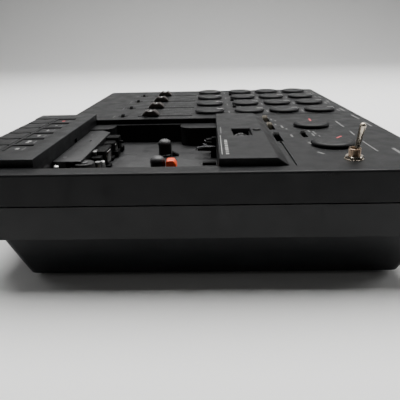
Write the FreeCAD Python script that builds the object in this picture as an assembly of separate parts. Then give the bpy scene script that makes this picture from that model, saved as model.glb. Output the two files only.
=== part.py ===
import FreeCAD, Part
import math
import os

from FreeCAD import Vector

# Portable four-track cassette recorder with a built-in mixer, in millimetres.
# +X is the user's right (the cassette end), +Y the back, +Z up.
# The origin is the middle of the outline, on the surface that the feet stand on.

os.makedirs("parts", exist_ok=True)

# ---- driving dimensions: the case ----
CASE_LENGTH = 310.0
CASE_WIDTH = 220.0
CASE_HEIGHT = 58.0
FOOT_HEIGHT = 3.0
KEY_OVERHANG = 17.0
UPPER_DEPTH = 15.6
SIDE_DEPTH = 32.7
PARTING_GAP = 0.6
WALL = 2.5
CORNER_R = 4.0
PILLAR_XS = (-136.0, -20.0, 136.0)
PILLAR_YS = (-70.0, 60.0)
PILLAR_R = 4.0
GROOVE_DEPTH = 0.8
GROOVE_HALF = 0.6
LONG_GROOVE_X0 = 96.5
DIVIDER_X = 5.0
HULL_INSET_FRONT = 7.0
HULL_INSET_BACK = 6.0
HULL_SLOPE_X = 12.6
HULL_SLOPE_FRONT = 5.0
HULL_SLOPE_BACK = 8.0
HULL_R = 4.5

LEFT = -CASE_LENGTH / 2
RIGHT = CASE_LENGTH / 2
FRONT = KEY_OVERHANG - (CASE_WIDTH + KEY_OVERHANG) / 2
BACK = FRONT + CASE_WIDTH
OUTLINE_FRONT = FRONT - KEY_OVERHANG
BASE = FOOT_HEIGHT
DECK = FOOT_HEIGHT + CASE_HEIGHT
PARTING = DECK - UPPER_DEPTH
SKIRT = DECK - SIDE_DEPTH

# ---- the cassette well ----
WELL_FLOOR = DECK - 16.5
WELL_X0 = LEFT + 172.0
WELL_X1 = RIGHT - 10.0
WELL_Y0 = FRONT + 23.6
WELL_Y1 = BACK - 107.2
WELL_LEDGE = 4.0
LEDGE_Z = DECK - 3.5
POCKET_X = WELL_X0 + 18.5
POCKET_Y = WELL_Y1 - 25.3
POCKET_R = 8.0
SHELF_Y = WELL_Y0 + 16.0
SHELF_R = 7.0
TUB_WALL = 1.6
TUB_GAP = 0.3
PEG_HOLE_X = 73.2
PEG_HOLE = (6.5, 3.2)

# ---- the transport keys and their housing ----
KEY_COUNT = 6
KEY_PITCH = 16.0
KEY_GAP = 0.8
KEY_CENTRE_X = RIGHT - 76.5
KEY_DEPTH = 15.6
BLOCK_X0 = LEFT + 170.0
BLOCK_X1 = RIGHT - 12.0
BLOCK_TOP = DECK + 4.0
BLOCK_FLOOR = DECK - 15.0
BLOCK_WALL = 2.0
KEY_PIVOT_Y = WELL_Y0 - 6.1
KEY_PIVOT_Z = DECK - 4.0
KEY_ROD_R = 1.5
RUNNING_GAP = 0.05

# ---- the tape transport ----
PLATE_THICK = 1.5
REEL_SPACING = 42.5
REEL_CENTRE_X = RIGHT - 71.75
REEL_Y = FRONT + 78.8
SPINDLE_R = 4.4
SHAFT_R = 1.5
CAPSTAN_R = 1.25
CAPSTAN_X = REEL_CENTRE_X + 31.0
CAPSTAN_Y = REEL_Y - 28.8
ROLLER_R = 5.5
PINCH_PIVOT = (RIGHT - 25.0, FRONT + 35.5)
LEVER_PIVOT_Y = REEL_Y + 23.2
COVER_SLIT_X = REEL_CENTRE_X - 17.0
PLATE_X0 = 10.0
PLATE_X1 = 149.0
PLATE_Y1 = 32.0
TAB_XS = (LEFT + 167.0, RIGHT - 7.0)
MOTOR_X = RIGHT - 30.0
MOTOR_Y = WELL_Y1 + 4.7
MOTOR_R = 14.0
MOTOR_HEIGHT = 22.0
PULLEY_R = 4.0
FLYWHEEL_R = 22.0
REEL_TABLE_R = 15.0

# ---- the raised cover behind the well ----
HOOD_X0 = LEFT + 176.0
HOOD_X1 = RIGHT - 9.0
HOOD_Y1 = WELL_Y1 + 27.4
HOOD_FOOT_Y = WELL_Y1 + 33.2
HOOD_TOP = DECK + 4.0
HOOD_SKIN = 1.6
COUNTER_X = RIGHT - 69.2
COUNTER_Y = FRONT + 127.4
COUNTER_WINDOW = (21.0, 11.6)
COUNTER_BAY = 12.5

# ---- the mixer controls ----
CHANNELS = 4
CHANNEL_PITCH = 40.0
KNOB_X = LEFT + 145.0
KNOB_ROWS_Y = (FRONT + 108.5, FRONT + 140.0, FRONT + 167.6, FRONT + 195.6)
KNOB_NAMES = ("send", "pan", "tone", "gain")
KNOB_R = 11.75
KNOB_CAP_Z = 0.5
KNOB_CAP_HEIGHT = 2.3
SWITCH_X = LEFT + 158.5
SLIDER_Y0 = FRONT + 52.5
SLIDER_Y1 = FRONT + 95.0
FADER_CAP = (4.5, 6.5)
FADER_RISE = 5.0
TRACK_SWITCH_Y = FRONT + 41.0
INPUT_SWITCH_Y = FRONT + 129.5
PITCH_KNOB = (RIGHT - 102.5, FRONT + 175.7)
LEVEL_KNOB = (RIGHT - 48.9, FRONT + 176.0)
PANEL_SWITCH_Y = FRONT + 148.9
PANEL_SWITCHES = (("reverb", 17.0), ("monitor", 43.5), ("dubbing", 76.5))
PANEL_SLOT = 19.5
SPEED_SWITCH = (RIGHT - 80.6, FRONT + 165.5)
TOGGLE = (RIGHT - 19.5, FRONT + 178.8)
TOGGLE_TILT = 12.0
TOGGLE_TURN = 24.0
TOGGLE_LENGTH = 17.0
TOGGLE_BORE = 2.1
BUSHING_R = 3.0
NUT_ACROSS = 8.0

# ---- the electronics ----
BOARD_Z = DECK - 17.0
BOARD_THICK = 1.6
POT_R = 7.0
JACK_COUNT = 6
JACK_PITCH = 30.0
JACK_X = LEFT + 40.0
JACK_R = 3.25
JACK_DEPTH = 14.0
JACK_PANEL_HEIGHT = 13.8
JACK_Z = PARTING - PARTING_GAP - JACK_PANEL_HEIGHT / 2
INLET_R = 2.8
INLET_DEPTH = 9.0


def box(x0, x1, y0, y1, z0, z1):
    return Part.makeBox(x1 - x0, y1 - y0, z1 - z0, Vector(x0, y0, z0))


def post(x, y, z0, z1, radius):
    return Part.makeCylinder(radius, z1 - z0, Vector(x, y, z0))


def rod_x(x0, x1, y, z, radius):
    return Part.makeCylinder(radius, x1 - x0, Vector(x0, y, z), Vector(1, 0, 0))


def rod_y(x, y0, y1, z, radius):
    return Part.makeCylinder(radius, y1 - y0, Vector(x, y0, z), Vector(0, 1, 0))


def upright_edges(shape):
    found = []
    for edge in shape.Edges:
        ends = [v.Point for v in edge.Vertexes]
        if len(ends) == 2 and abs(ends[0].x - ends[1].x) < 1e-6 and abs(ends[0].y - ends[1].y) < 1e-6:
            found.append(edge)
    return found


def edges_at(shape, z):
    return [e for e in shape.Edges if abs(e.BoundBox.ZMin - z) < 1e-4 and abs(e.BoundBox.ZMax - z) < 1e-4]


def slab(x0, x1, y0, y1, z0, z1, corner):
    block = box(x0, x1, y0, y1, z0, z1)
    return block.makeFillet(corner, upright_edges(block))


def outline(x0, x1, y0, y1, z, corner):
    points = [(x0 + corner, y0), (x1 - corner, y0), (x1, y0 + corner), (x1, y1 - corner)]
    points += [(x1 - corner, y1), (x0 + corner, y1), (x0, y1 - corner), (x0, y0 + corner)]
    corners = [(x1, y0), (x1, y1), (x0, y1), (x0, y0)]
    pull = corner * (1 - math.sqrt(0.5))
    edges = []
    for side in range(4):
        start = Vector(*points[2 * side], z)
        end = Vector(*points[2 * side + 1], z)
        after = Vector(*points[(2 * side + 2) % 8], z)
        cx, cy = corners[side]
        sign_x = -1 if cx == x1 else 1
        sign_y = -1 if cy == y1 else 1
        middle = Vector(cx + sign_x * pull, cy + sign_y * pull, z)
        edges.append(Part.LineSegment(start, end).toShape())
        edges.append(Part.Arc(end, middle, after).toShape())
    return Part.Wire(edges)


def save(name, *solids):
    shape = solids[0] if len(solids) == 1 else Part.makeCompound(list(solids))
    shape.exportStep("parts/" + name + ".step")
    volume = sum(s.Volume for s in shape.Solids)
    print(f"{name:24s} solids {len(shape.Solids)}  valid {shape.isValid()}  {volume / 1000:.2f} cm3")


# ---- places worked out once and shared by several pieces ----
key_xs = [KEY_CENTRE_X + (i - (KEY_COUNT - 1) / 2) * KEY_PITCH for i in range(KEY_COUNT)]
knob_xs = [KNOB_X - i * CHANNEL_PITCH for i in range(CHANNELS)]
switch_xs = [SWITCH_X - i * CHANNEL_PITCH for i in range(CHANNELS)]
knob_places = [(x, y) for x in knob_xs for y in KNOB_ROWS_Y] + [PITCH_KNOB, LEVEL_KNOB]
supply_x = REEL_CENTRE_X - REEL_SPACING / 2
takeup_x = REEL_CENTRE_X + REEL_SPACING / 2
slider_stem = (0.9, 2.0)
slot_half = 1.6


def switch_slots():
    """Every small slide switch: its slot's low X, high X, low Y and high Y."""
    slots = []
    for x in switch_xs:
        slots.append((x - 4.0, x + 4.0, TRACK_SWITCH_Y - slot_half, TRACK_SWITCH_Y + slot_half))
        slots.append((x - 3.0, x + 5.0, INPUT_SWITCH_Y - slot_half, INPUT_SWITCH_Y + slot_half))
    for _, x in PANEL_SWITCHES:
        slots.append((x, x + PANEL_SLOT, PANEL_SWITCH_Y - 2.0, PANEL_SWITCH_Y + 2.0))
    x, y = SPEED_SWITCH
    slots.append((x, x + 12.0, y - slot_half, y + slot_half))
    return slots


# ---- upper case: deck, rim and the walls of the cassette well ----
def upper_shell():
    shell = slab(LEFT, RIGHT, FRONT, BACK, PARTING, DECK, CORNER_R)
    shell = shell.makeFillet(1.2, edges_at(shell, DECK))
    inner_r = CORNER_R - WALL + 1.0
    inside = slab(LEFT + WALL, RIGHT - WALL, FRONT + WALL, BACK - WALL, PARTING - 1, DECK - WALL, inner_r)
    shell = shell.cut(inside)
    out = TUB_WALL
    tub_low = WELL_FLOOR + TUB_GAP
    tub = box(WELL_X0 - out, WELL_X1 + out, WELL_Y0 - out, WELL_Y1 + out, tub_low, DECK - WALL)
    shell = shell.fuse(tub)
    shell = shell.cut(box(WELL_X0, WELL_X1, WELL_Y0, WELL_Y1, LEDGE_Z, DECK + 1))
    well = box(WELL_X0 + WELL_LEDGE, WELL_X1, WELL_Y0, WELL_Y1, tub_low - 1, LEDGE_Z + 1)
    pocket = box(WELL_X0, POCKET_X, POCKET_Y, WELL_Y1 + 1, tub_low - 2, LEDGE_Z)
    inner_edge = [e for e in upright_edges(pocket) if e.BoundBox.XMax > POCKET_X - 0.01]
    corner = [e for e in inner_edge if e.BoundBox.YMin < POCKET_Y + 0.01]
    well = well.cut(pocket.makeFillet(POCKET_R, corner))
    shelf = box(WELL_X0, POCKET_X, WELL_Y0 - 1, SHELF_Y, tub_low - 2, LEDGE_Z)
    inner_edge = [e for e in upright_edges(shelf) if e.BoundBox.XMax > POCKET_X - 0.01]
    corner = [e for e in inner_edge if e.BoundBox.YMax > SHELF_Y - 0.01]
    well = well.cut(shelf.makeFillet(SHELF_R, corner))
    shell = shell.cut(well)
    # the way in for the keys' arms
    key_bay = box(BLOCK_X0 + BLOCK_WALL, BLOCK_X1 - BLOCK_WALL, FRONT - 1, WELL_Y0 - 2.0,
                  BLOCK_FLOOR + 2, DECK + 1)
    cutters = [key_bay]
    for x, y in knob_places:
        cutters.append(post(x, y, DECK - 5, DECK + 1, 3.6))
    for x in switch_xs:
        cutters.append(box(x - 1.1, x + 1.1, SLIDER_Y0, SLIDER_Y1, DECK - 5, DECK + 1))
    for x0, x1, y0, y1 in switch_slots():
        cutters.append(box(x0, x1, y0, y1, DECK - 5, DECK + 1))
    x0 = COUNTER_X - COUNTER_BAY
    x1 = COUNTER_X + COUNTER_BAY
    cutters.append(box(x0, x1, COUNTER_Y - 8.5, COUNTER_Y + COUNTER_BAY, DECK - 5, DECK + 1))
    cutters.append(post(TOGGLE[0], TOGGLE[1], DECK - 5, DECK + 1, 3.2))
    # a small peg hole in the well's front wall
    x0 = PEG_HOLE_X - PEG_HOLE[0] / 2
    high = DECK - 1.8
    cutters.append(box(x0, x0 + PEG_HOLE[0], WELL_Y0 - 1.2, WELL_Y0 + 1, high - PEG_HOLE[1], high))
    # shallow grooves in the deck
    low = DECK - GROOVE_DEPTH
    y0 = PANEL_SWITCH_Y - GROOVE_HALF
    y1 = PANEL_SWITCH_Y + GROOVE_HALF
    cutters.append(box(LONG_GROOVE_X0, WELL_X1 + 0.5, y0, y1, low, DECK + 1))
    x0 = DIVIDER_X - GROOVE_HALF
    x1 = DIVIDER_X + GROOVE_HALF
    cutters.append(box(x0, x1, PANEL_SWITCH_Y, BACK - 9, low, DECK + 1))
    return shell.cut(Part.makeCompound(cutters))


# ---- lower case: upright sides, and a narrower hull under them ----
def hull(shrink, low, high):
    """The tapered hull between two heights, drawn in by shrink on every side."""
    top = outline(LEFT + shrink, RIGHT - shrink, FRONT + HULL_INSET_FRONT + shrink,
                  BACK - HULL_INSET_BACK - shrink, high, HULL_R)
    low_x = HULL_SLOPE_X + shrink
    bottom = outline(LEFT + low_x, RIGHT - low_x, FRONT + HULL_INSET_FRONT + HULL_SLOPE_FRONT + shrink,
                     BACK - HULL_INSET_BACK - HULL_SLOPE_BACK - shrink, low, HULL_R)
    return Part.makeLoft([bottom, top], True, True)


def lower_shell():
    high = PARTING - PARTING_GAP
    sides = slab(LEFT, RIGHT, FRONT, BACK, SKIRT, high, CORNER_R)
    shell = sides.fuse(hull(0.0, BASE, SKIRT))
    inner_r = CORNER_R - WALL + 1
    inside = slab(LEFT + WALL, RIGHT - WALL, FRONT + WALL, BACK - WALL, SKIRT + WALL, high + 1, inner_r)
    shell = shell.cut(inside)
    shell = shell.cut(hull(WALL, BASE + WALL, SKIRT + WALL))
    for x in PILLAR_XS:
        for y in PILLAR_YS:
            under_plate = x > 0 and y < 0
            top = WELL_FLOOR - PLATE_THICK if under_plate else BOARD_Z
            shell = shell.fuse(post(x, y, BASE + 1, top, PILLAR_R))
    for x, y in foot_places():
        shell = shell.cut(post(x, y, BASE - 1, BASE + 1.0, 6.3))
    # a lip that stands up inside the upper case and closes the parting gap
    shell = shell.fuse(rim(WALL - 0.5, WALL + 1.4, high - 0.8, high))
    shell = shell.fuse(rim(WALL + 0.2, WALL + 1.4, high - 0.8, high + 1.8))
    # the notch in the back wall that the sockets' panels fill
    notch_x0 = JACK_X - JACK_PITCH / 2
    notch_x1 = notch_x0 + (JACK_COUNT + 1) * JACK_PITCH
    return shell.cut(box(notch_x0, notch_x1, BACK - WALL, BACK + 1, high - JACK_PANEL_HEIGHT, high + 0.01))


def rim(outer, inner, low, high):
    """A thin upright band that follows the case's outline, between two insets from its sides."""
    corner = CORNER_R - WALL + 1
    band = slab(LEFT + outer, RIGHT - outer, FRONT + outer, BACK - outer, low, high, corner)
    hole = slab(LEFT + inner, RIGHT - inner, FRONT + inner, BACK - inner, low - 1, high + 1, corner)
    return band.cut(hole)


def foot_places():
    xs = (LEFT + 34.0, RIGHT - 34.0)
    ys = (FRONT + 36.0, BACK - 40.0)
    return [(x, y) for x in xs for y in ys]


def rubber_feet():
    feet = []
    for x, y in foot_places():
        foot = post(x, y, 0.0, BASE + 0.9, 6.0)
        feet.append(foot.makeChamfer(0.8, edges_at(foot, 0.0)))
    return feet


# ---- key housing: a hood over the keys' pivots, and the tray under their caps ----
def key_block():
    lid = DECK + 0.02
    block = box(BLOCK_X0, BLOCK_X1, OUTLINE_FRONT, WELL_Y0, lid, BLOCK_TOP)
    nose = box(BLOCK_X0, BLOCK_X1, OUTLINE_FRONT, FRONT - 0.3, BLOCK_FLOOR, BLOCK_TOP)
    block = block.fuse(nose)
    block = block.makeFillet(1.0, edges_at(block, BLOCK_TOP))
    low = BLOCK_FLOOR + 1.6
    w = BLOCK_WALL
    inside = box(BLOCK_X0 + w, BLOCK_X1 - w, OUTLINE_FRONT + w, WELL_Y0 - w, low, BLOCK_TOP - w)
    keys_x0 = key_xs[0] - KEY_PITCH / 2
    keys_x1 = key_xs[-1] + KEY_PITCH / 2
    window = box(keys_x0, keys_x1, OUTLINE_FRONT - 1, OUTLINE_FRONT + KEY_DEPTH + 0.6, low, BLOCK_TOP + 1)
    block = block.cut(inside).cut(window)
    for x in (keys_x0 - 4.0, keys_x1 + 1.0):
        block = block.fuse(box(x, x + 3.0, KEY_PIVOT_Y - 3, KEY_PIVOT_Y + 3, KEY_PIVOT_Z - 3, BLOCK_TOP - 1))
    return block.fuse(rod_x(keys_x0 - 4.0, keys_x1 + 4.0, KEY_PIVOT_Y, KEY_PIVOT_Z, KEY_ROD_R))


def transport_key(x):
    half = (KEY_PITCH - KEY_GAP) / 2
    back = OUTLINE_FRONT + KEY_DEPTH
    cap = box(x - half, x + half, OUTLINE_FRONT, back, BLOCK_TOP - 3.4, BLOCK_TOP)
    skirt = box(x - half, x + half, OUTLINE_FRONT, OUTLINE_FRONT + 2, DECK - 8.0, BLOCK_TOP - 1)
    cap = cap.fuse(skirt).removeSplitter()
    cap = cap.makeFillet(0.5, edges_at(cap, BLOCK_TOP))
    arm = box(x - 3, x + 3, OUTLINE_FRONT + 1, KEY_PIVOT_Y, DECK - 6, DECK - 1)
    rib = box(x - 3, x + 3, OUTLINE_FRONT + 1, back - 2, DECK - 2, BLOCK_TOP - 2)
    boss = rod_x(x - 5, x + 5, KEY_PIVOT_Y, KEY_PIVOT_Z, 3.2)
    key = cap.fuse([arm, rib, boss])
    return key.cut(rod_x(x - 9, x + 9, KEY_PIVOT_Y, KEY_PIVOT_Z, KEY_ROD_R + RUNNING_GAP)).removeSplitter()


# ---- tape transport ----
def deck_chassis():
    low = WELL_FLOOR - PLATE_THICK
    plate = box(PLATE_X0, PLATE_X1, WELL_Y0 - 3.0, PLATE_Y1, low, WELL_FLOOR)
    bushes = [post(supply_x, REEL_Y, low - 1.5, WELL_FLOOR, 3.5)]
    bushes.append(post(takeup_x, REEL_Y, low - 1.5, WELL_FLOOR, 3.5))
    bushes.append(post(CAPSTAN_X, CAPSTAN_Y, low - 2.5, WELL_FLOOR + 1.5, 3.5))
    bushes.append(post(takeup_x, LEVER_PIVOT_Y, WELL_FLOOR - 0.5, WELL_FLOOR + 4, SHAFT_R))
    bushes.append(post(PINCH_PIVOT[0], PINCH_PIVOT[1], WELL_FLOOR - 0.5, WELL_FLOOR + 9, SHAFT_R))
    for x in TAB_XS:
        bushes.append(box(x - 1, x + 1, -20.0, 20.0, low - 4, WELL_FLOOR - 0.5))
    plate = plate.fuse(bushes)
    cuts = [post(x, REEL_Y, low - 4, WELL_FLOOR + 4, SHAFT_R + RUNNING_GAP) for x in (supply_x, takeup_x)]
    cuts.append(post(CAPSTAN_X, CAPSTAN_Y, low - 4, WELL_FLOOR + 4, CAPSTAN_R + RUNNING_GAP))
    plate = plate.cut(Part.makeCompound(cuts))
    base = low - MOTOR_HEIGHT
    motor = post(MOTOR_X, MOTOR_Y, base, low - 0.02, MOTOR_R)
    pulley = post(MOTOR_X, MOTOR_Y, base - 8.0, base - 0.02, PULLEY_R)
    shaft = post(MOTOR_X, MOTOR_Y, base - 2.0, base + 2.0, 1.0)
    return [plate, motor.fuse([pulley, shaft])]


def reel_spindle(x):
    low = WELL_FLOOR - PLATE_THICK
    body = post(x, REEL_Y, WELL_FLOOR + 0.3, DECK - 8.5, SPINDLE_R)
    cap = post(x, REEL_Y, DECK - 8.5, DECK - 5.1, SPINDLE_R)
    cap = cap.makeFillet(2.6, edges_at(cap, DECK - 5.1))
    shaft = post(x, REEL_Y, low - 6.0, WELL_FLOOR + 1, SHAFT_R)
    table = post(x, REEL_Y, low - 5.0, low - 1.8, REEL_TABLE_R)
    return body.fuse([cap, shaft, table]).removeSplitter()


def capstan_flywheel():
    low = WELL_FLOOR - PLATE_THICK
    shaft = post(CAPSTAN_X, CAPSTAN_Y, low - 16.0, DECK - 5.0, CAPSTAN_R)
    shaft = shaft.makeChamfer(0.3, edges_at(shaft, DECK - 5.0))
    wheel = post(CAPSTAN_X, CAPSTAN_Y, low - 13.5, low - 7.5, FLYWHEEL_R)
    groove = post(CAPSTAN_X, CAPSTAN_Y, low - 11.5, low - 9.5, FLYWHEEL_R + 0.5)
    groove = groove.cut(post(CAPSTAN_X, CAPSTAN_Y, low - 12, low - 9, FLYWHEEL_R - 1.2))
    return wheel.cut(groove).fuse(shaft)


def head_bridge():
    low = WELL_FLOOR + 0.3
    x = REEL_CENTRE_X
    y = REEL_Y - 32.3
    plate = box(x - 36, x + 25, y - 18, y, low, low + 2.0)
    carriage = box(x - 35, x + 24, y - 15, y - 4, low + 1.5, low + 7.0)
    head = box(x - 7, x + 7, y - 12, y + 0.8, low + 1.5, low + 11.0)
    head = head.makeFillet(2.4, [e for e in upright_edges(head) if e.BoundBox.YMin > y])
    eraser = box(x - 26, x - 18, y - 9, y + 0.3, low + 1.5, low + 10.0)
    fork = box(x - 39, x - 34, y - 6, y + 2.2, low, low + 3.2)
    fork = fork.cut(box(x - 37.4, x - 35.8, y - 2, y + 3, low - 1, low + 4))
    return plate.fuse([carriage, head, eraser, fork]).removeSplitter()


def pinch_arm():
    low = WELL_FLOOR + 2.2
    px, py = PINCH_PIVOT
    rx, ry = roller_place()
    length = math.hypot(rx - px, ry - py)
    bar = box(0, length, -3, 3, 0, 2.0)
    bar.rotate(Vector(0, 0, 0), Vector(0, 0, 1), math.degrees(math.atan2(ry - py, rx - px)))
    bar.translate(Vector(px, py, low))
    arm = bar.fuse([post(px, py, low, low + 5, 3.6), post(rx, ry, low, low + 2, 3.0)])
    arm = arm.fuse(post(rx, ry, low, low + 8.6, 1.0))
    return arm.cut(post(px, py, low - 1, low + 6, SHAFT_R + RUNNING_GAP))


def roller_place():
    return (CAPSTAN_X + 1.2, CAPSTAN_Y - CAPSTAN_R - ROLLER_R - 3.0)


def pinch_roller():
    x, y = roller_place()
    low = WELL_FLOOR + 4.5
    wheel = post(x, y, low, low + 6.6, ROLLER_R)
    wheel = wheel.makeFillet(0.4, wheel.Edges[:1] + wheel.Edges[2:3])
    return wheel.cut(post(x, y, low - 1, low + 8, 1.0 + RUNNING_GAP))


def stop_lever():
    low = WELL_FLOOR + 0.3
    y0 = REEL_Y + SPINDLE_R + 0.5
    tab = box(takeup_x - 3.6, takeup_x + 3.6, y0, y0 + 5.8, low, DECK - 7.3)
    tab = tab.makeFillet(0.8, edges_at(tab, DECK - 7.3))
    arm = box(takeup_x - 2.4, takeup_x + 2.4, y0 + 1, LEVER_PIVOT_Y, low, low + 1.6)
    boss = post(takeup_x, LEVER_PIVOT_Y, low, low + 3.0, 3.2)
    lever = tab.fuse([arm, boss])
    return lever.cut(post(takeup_x, LEVER_PIVOT_Y, low - 1, low + 4, SHAFT_R + RUNNING_GAP))


def head_cover():
    top = DECK - 4.0
    x0 = POCKET_X + 0.8
    x1 = REEL_CENTRE_X + 35.0
    y0 = WELL_Y0 + 0.3
    y1 = WELL_Y0 + 15.6
    cut_back = 6.5
    corners = [(x0, y0), (x1, y0), (x1, y1), (x0 + cut_back, y1), (x0, y1 - cut_back)]
    points = [Vector(x, y, top - 1.2) for x, y in corners]
    plate = Part.Face(Part.makePolygon(points + points[:1])).extrude(Vector(0, 0, 1.2))
    plate = plate.cut(box(COVER_SLIT_X, COVER_SLIT_X + 4, y0 + 7.3, y0 + 8.3, top - 2, top + 1))
    legs = [box(x, x + 1.5, y0, y0 + 7, WELL_FLOOR, top - 1) for x in (x0, x1 - 1.5)]
    return plate.fuse(legs)


# ---- raised cover with the tape counter ----
def hood_profile(skin, x):
    """The cover's cross-section at one X, drawn in by skin."""
    front = WELL_Y1 + skin
    top = HOOD_TOP - skin
    low = DECK + 0.02
    reach = HOOD_FOOT_Y - skin * 1.6
    points = [(front, low), (front, top - 1.2), (front + 1.2, top), (HOOD_Y1 - skin * 0.5, top), (reach, low)]
    corners = [Vector(x, y, z) for y, z in points]
    return Part.Face(Part.makePolygon(corners + corners[:1]))


def cassette_hood():
    cover = hood_profile(0.0, HOOD_X0).extrude(Vector(HOOD_X1 - HOOD_X0, 0, 0))
    inside = hood_profile(HOOD_SKIN, HOOD_X0 + HOOD_SKIN)
    inside = inside.extrude(Vector(HOOD_X1 - HOOD_X0 - 2 * HOOD_SKIN, 0, 0))
    inside.translate(Vector(0, 0, -0.02))
    cover = cover.cut(inside)
    wide, deep = COUNTER_WINDOW
    y0 = COUNTER_Y - deep / 2
    y1 = COUNTER_Y + deep / 2
    cover = cover.cut(box(COUNTER_X - wide / 2, COUNTER_X + wide / 2, y0, y1, DECK, HOOD_TOP + 1))
    for side in (-1, 1):
        x = COUNTER_X + side * (wide / 2 + 0.8)
        ear = box(x - 0.7, x + 0.7, COUNTER_Y - 4, COUNTER_Y + 4, DECK - 8.0, HOOD_TOP - 1)
        cover = cover.fuse(ear).cut(rod_x(x - 2, x + 2, COUNTER_Y, DECK - 4.5, 1.0 + RUNNING_GAP))
    return cover.cut(post(*reset_place(), DECK, HOOD_TOP + 1, 2.6))


def reset_place():
    return (COUNTER_X - 4.2, COUNTER_Y + 9.2)


def counter_wheels():
    half = COUNTER_WINDOW[0] / 2 - 0.6
    wheels = []
    for i in range(3):
        x = COUNTER_X - 6.0 + i * 6.0
        wheels.append(rod_x(x - 2.8, x + 2.8, COUNTER_Y, DECK - 4.5, 6.0))
    shaft = rod_x(COUNTER_X - half - 2.2, COUNTER_X + half + 2.2, COUNTER_Y, DECK - 4.5, 1.0)
    return shaft.fuse(wheels)


def counter_reset():
    x, y = reset_place()
    button = post(x, y, DECK - 2.0, HOOD_TOP + 0.9, 2.3)
    button = button.makeFillet(0.6, edges_at(button, HOOD_TOP + 0.9))
    return button.fuse(post(x, y, DECK - 3.0, DECK - 2.0, 3.0))


# ---- mixer controls ----
def knob(x, y):
    low = DECK + KNOB_CAP_Z
    cap = post(x, y, low, low + KNOB_CAP_HEIGHT, KNOB_R)
    cap = cap.makeFillet(0.5, edges_at(cap, low + KNOB_CAP_HEIGHT))
    return cap.fuse(post(x, y, BOARD_Z + BOARD_THICK + 0.6, low + 0.5, 3.0))


def slider_cap(x):
    y = SLIDER_Y0 + 10.5
    half_x, half_y = FADER_CAP
    cap = box(x - half_x, x + half_x, y - half_y, y + half_y, DECK + 0.5, DECK + FADER_RISE)
    cap = cap.makeFillet(1.0, upright_edges(cap))
    cap = cap.cut(box(x - 6, x + 6, y - 1.0, y + 1.0, DECK + FADER_RISE - 0.6, DECK + 9))
    stem_x, stem_y = slider_stem
    return cap.fuse(box(x - stem_x, x + stem_x, y - stem_y, y + stem_y, DECK - 7.0, DECK + 1))


def small_switch(x0, y, length, width):
    cap = box(x0, x0 + length, y - width / 2, y + width / 2, DECK - 3.5, DECK + 1.4)
    cap = cap.makeFillet(0.3, edges_at(cap, DECK + 1.4))
    return cap.fuse(box(x0 + 1, x0 + length - 1, y - 1, y + 1, DECK - 5.5, DECK - 3.4))


def toggle_bushing():
    x, y = TOGGLE
    flat = NUT_ACROSS / math.sqrt(3)
    turns = [math.radians(60 * i + 30) for i in range(6)]
    corners = [Vector(x + flat * math.cos(a), y + flat * math.sin(a), DECK + 0.4) for a in turns]
    nut = Part.Face(Part.makePolygon(corners + corners[:1])).extrude(Vector(0, 0, 2.0))
    nut = nut.fuse(post(x, y, DECK + 0.02, DECK + 0.4, 5.2))
    nut = nut.cut(post(x, y, DECK - 1, DECK + 4, BUSHING_R + 0.02))
    tube = post(x, y, DECK - 5.0, DECK + 5.5, BUSHING_R)
    tube = tube.cut(Part.makeCone(TOGGLE_BORE, TOGGLE_BORE + 0.6, 3.6, Vector(x, y, DECK + 2.0)))
    can = box(x - 6.5, x + 6.5, y - 4, y + 4, DECK - 14.0, DECK - 4.9)
    can = can.cut(box(x - 3.5, x + 3.5, y - 2.2, y + 2.2, DECK - 8.0, DECK - 4.0))
    tube = tube.cut(post(x, y, DECK - 6, DECK + 6, TOGGLE_BORE))
    return [nut, can.fuse(tube)]


def toggle_lever():
    x, y = TOGGLE
    ball = Part.makeSphere(1.9, Vector(x, y, DECK))
    stem = Part.makeCone(1.05, 1.55, TOGGLE_LENGTH, Vector(x, y, DECK))
    tip = Part.makeSphere(1.55, Vector(x, y, DECK + TOGGLE_LENGTH))
    tail = post(x, y, DECK - 6.0, DECK, 0.8)
    pin = rod_y(x, y - 1.98, y + 1.98, DECK, 0.6)
    pin.rotate(Vector(x, y, DECK), Vector(0, 0, 1), TOGGLE_TURN)
    lever = ball.fuse([stem, tip, tail, pin])
    turn = math.radians(TOGGLE_TURN)
    axis = Vector(-math.sin(turn), math.cos(turn), 0)
    lever.rotate(Vector(x, y, DECK), axis, TOGGLE_TILT)
    return lever


# ---- electronics ----
def circuit_board():
    top = BOARD_Z + BOARD_THICK
    board = box(LEFT + 8, 6.5, FRONT + 8, BACK - 20, BOARD_Z, top)
    side = box(6.0, RIGHT - 8, 36.0, BACK - 20, BOARD_Z, top)
    board = board.fuse(side)
    pots = [post(x, y, top - 0.2, DECK - 4.5, POT_R) for x, y in knob_places]
    tracks = [box(x - 4.5, x + 4.5, SLIDER_Y0 - 4, SLIDER_Y1 + 4, top - 0.2, DECK - 4.5) for x in switch_xs]
    board = board.fuse(pots + tracks)
    cuts = [post(x, y, top + 0.4, DECK, 3.0 + RUNNING_GAP) for x, y in knob_places]
    cuts += [box(x - 1.2, x + 1.2, SLIDER_Y0, SLIDER_Y1, top + 2, DECK) for x in switch_xs]
    cuts.append(box(TOGGLE[0] - 7.5, TOGGLE[0] + 7.5, TOGGLE[1] - 5, TOGGLE[1] + 5, BOARD_Z - 1, DECK))
    cuts.append(box(8.0, 150.0, 30.0, 44.0, BOARD_Z - 1, DECK - 5.6))
    return board.cut(Part.makeCompound(cuts)).removeSplitter()


def socket(x, depth, outer, bore):
    """One socket: its piece of the back panel, with the barrel behind it."""
    half = JACK_PITCH / 2
    high = JACK_Z + JACK_PANEL_HEIGHT / 2
    panel = box(x - half, x + half, BACK - WALL, BACK - 0.3, high - JACK_PANEL_HEIGHT, high)
    barrel = rod_y(x, BACK - depth, BACK - 1, JACK_Z, outer)
    return panel.fuse(barrel).cut(rod_y(x, BACK - depth - 1, BACK + 1, JACK_Z, bore))


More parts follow.
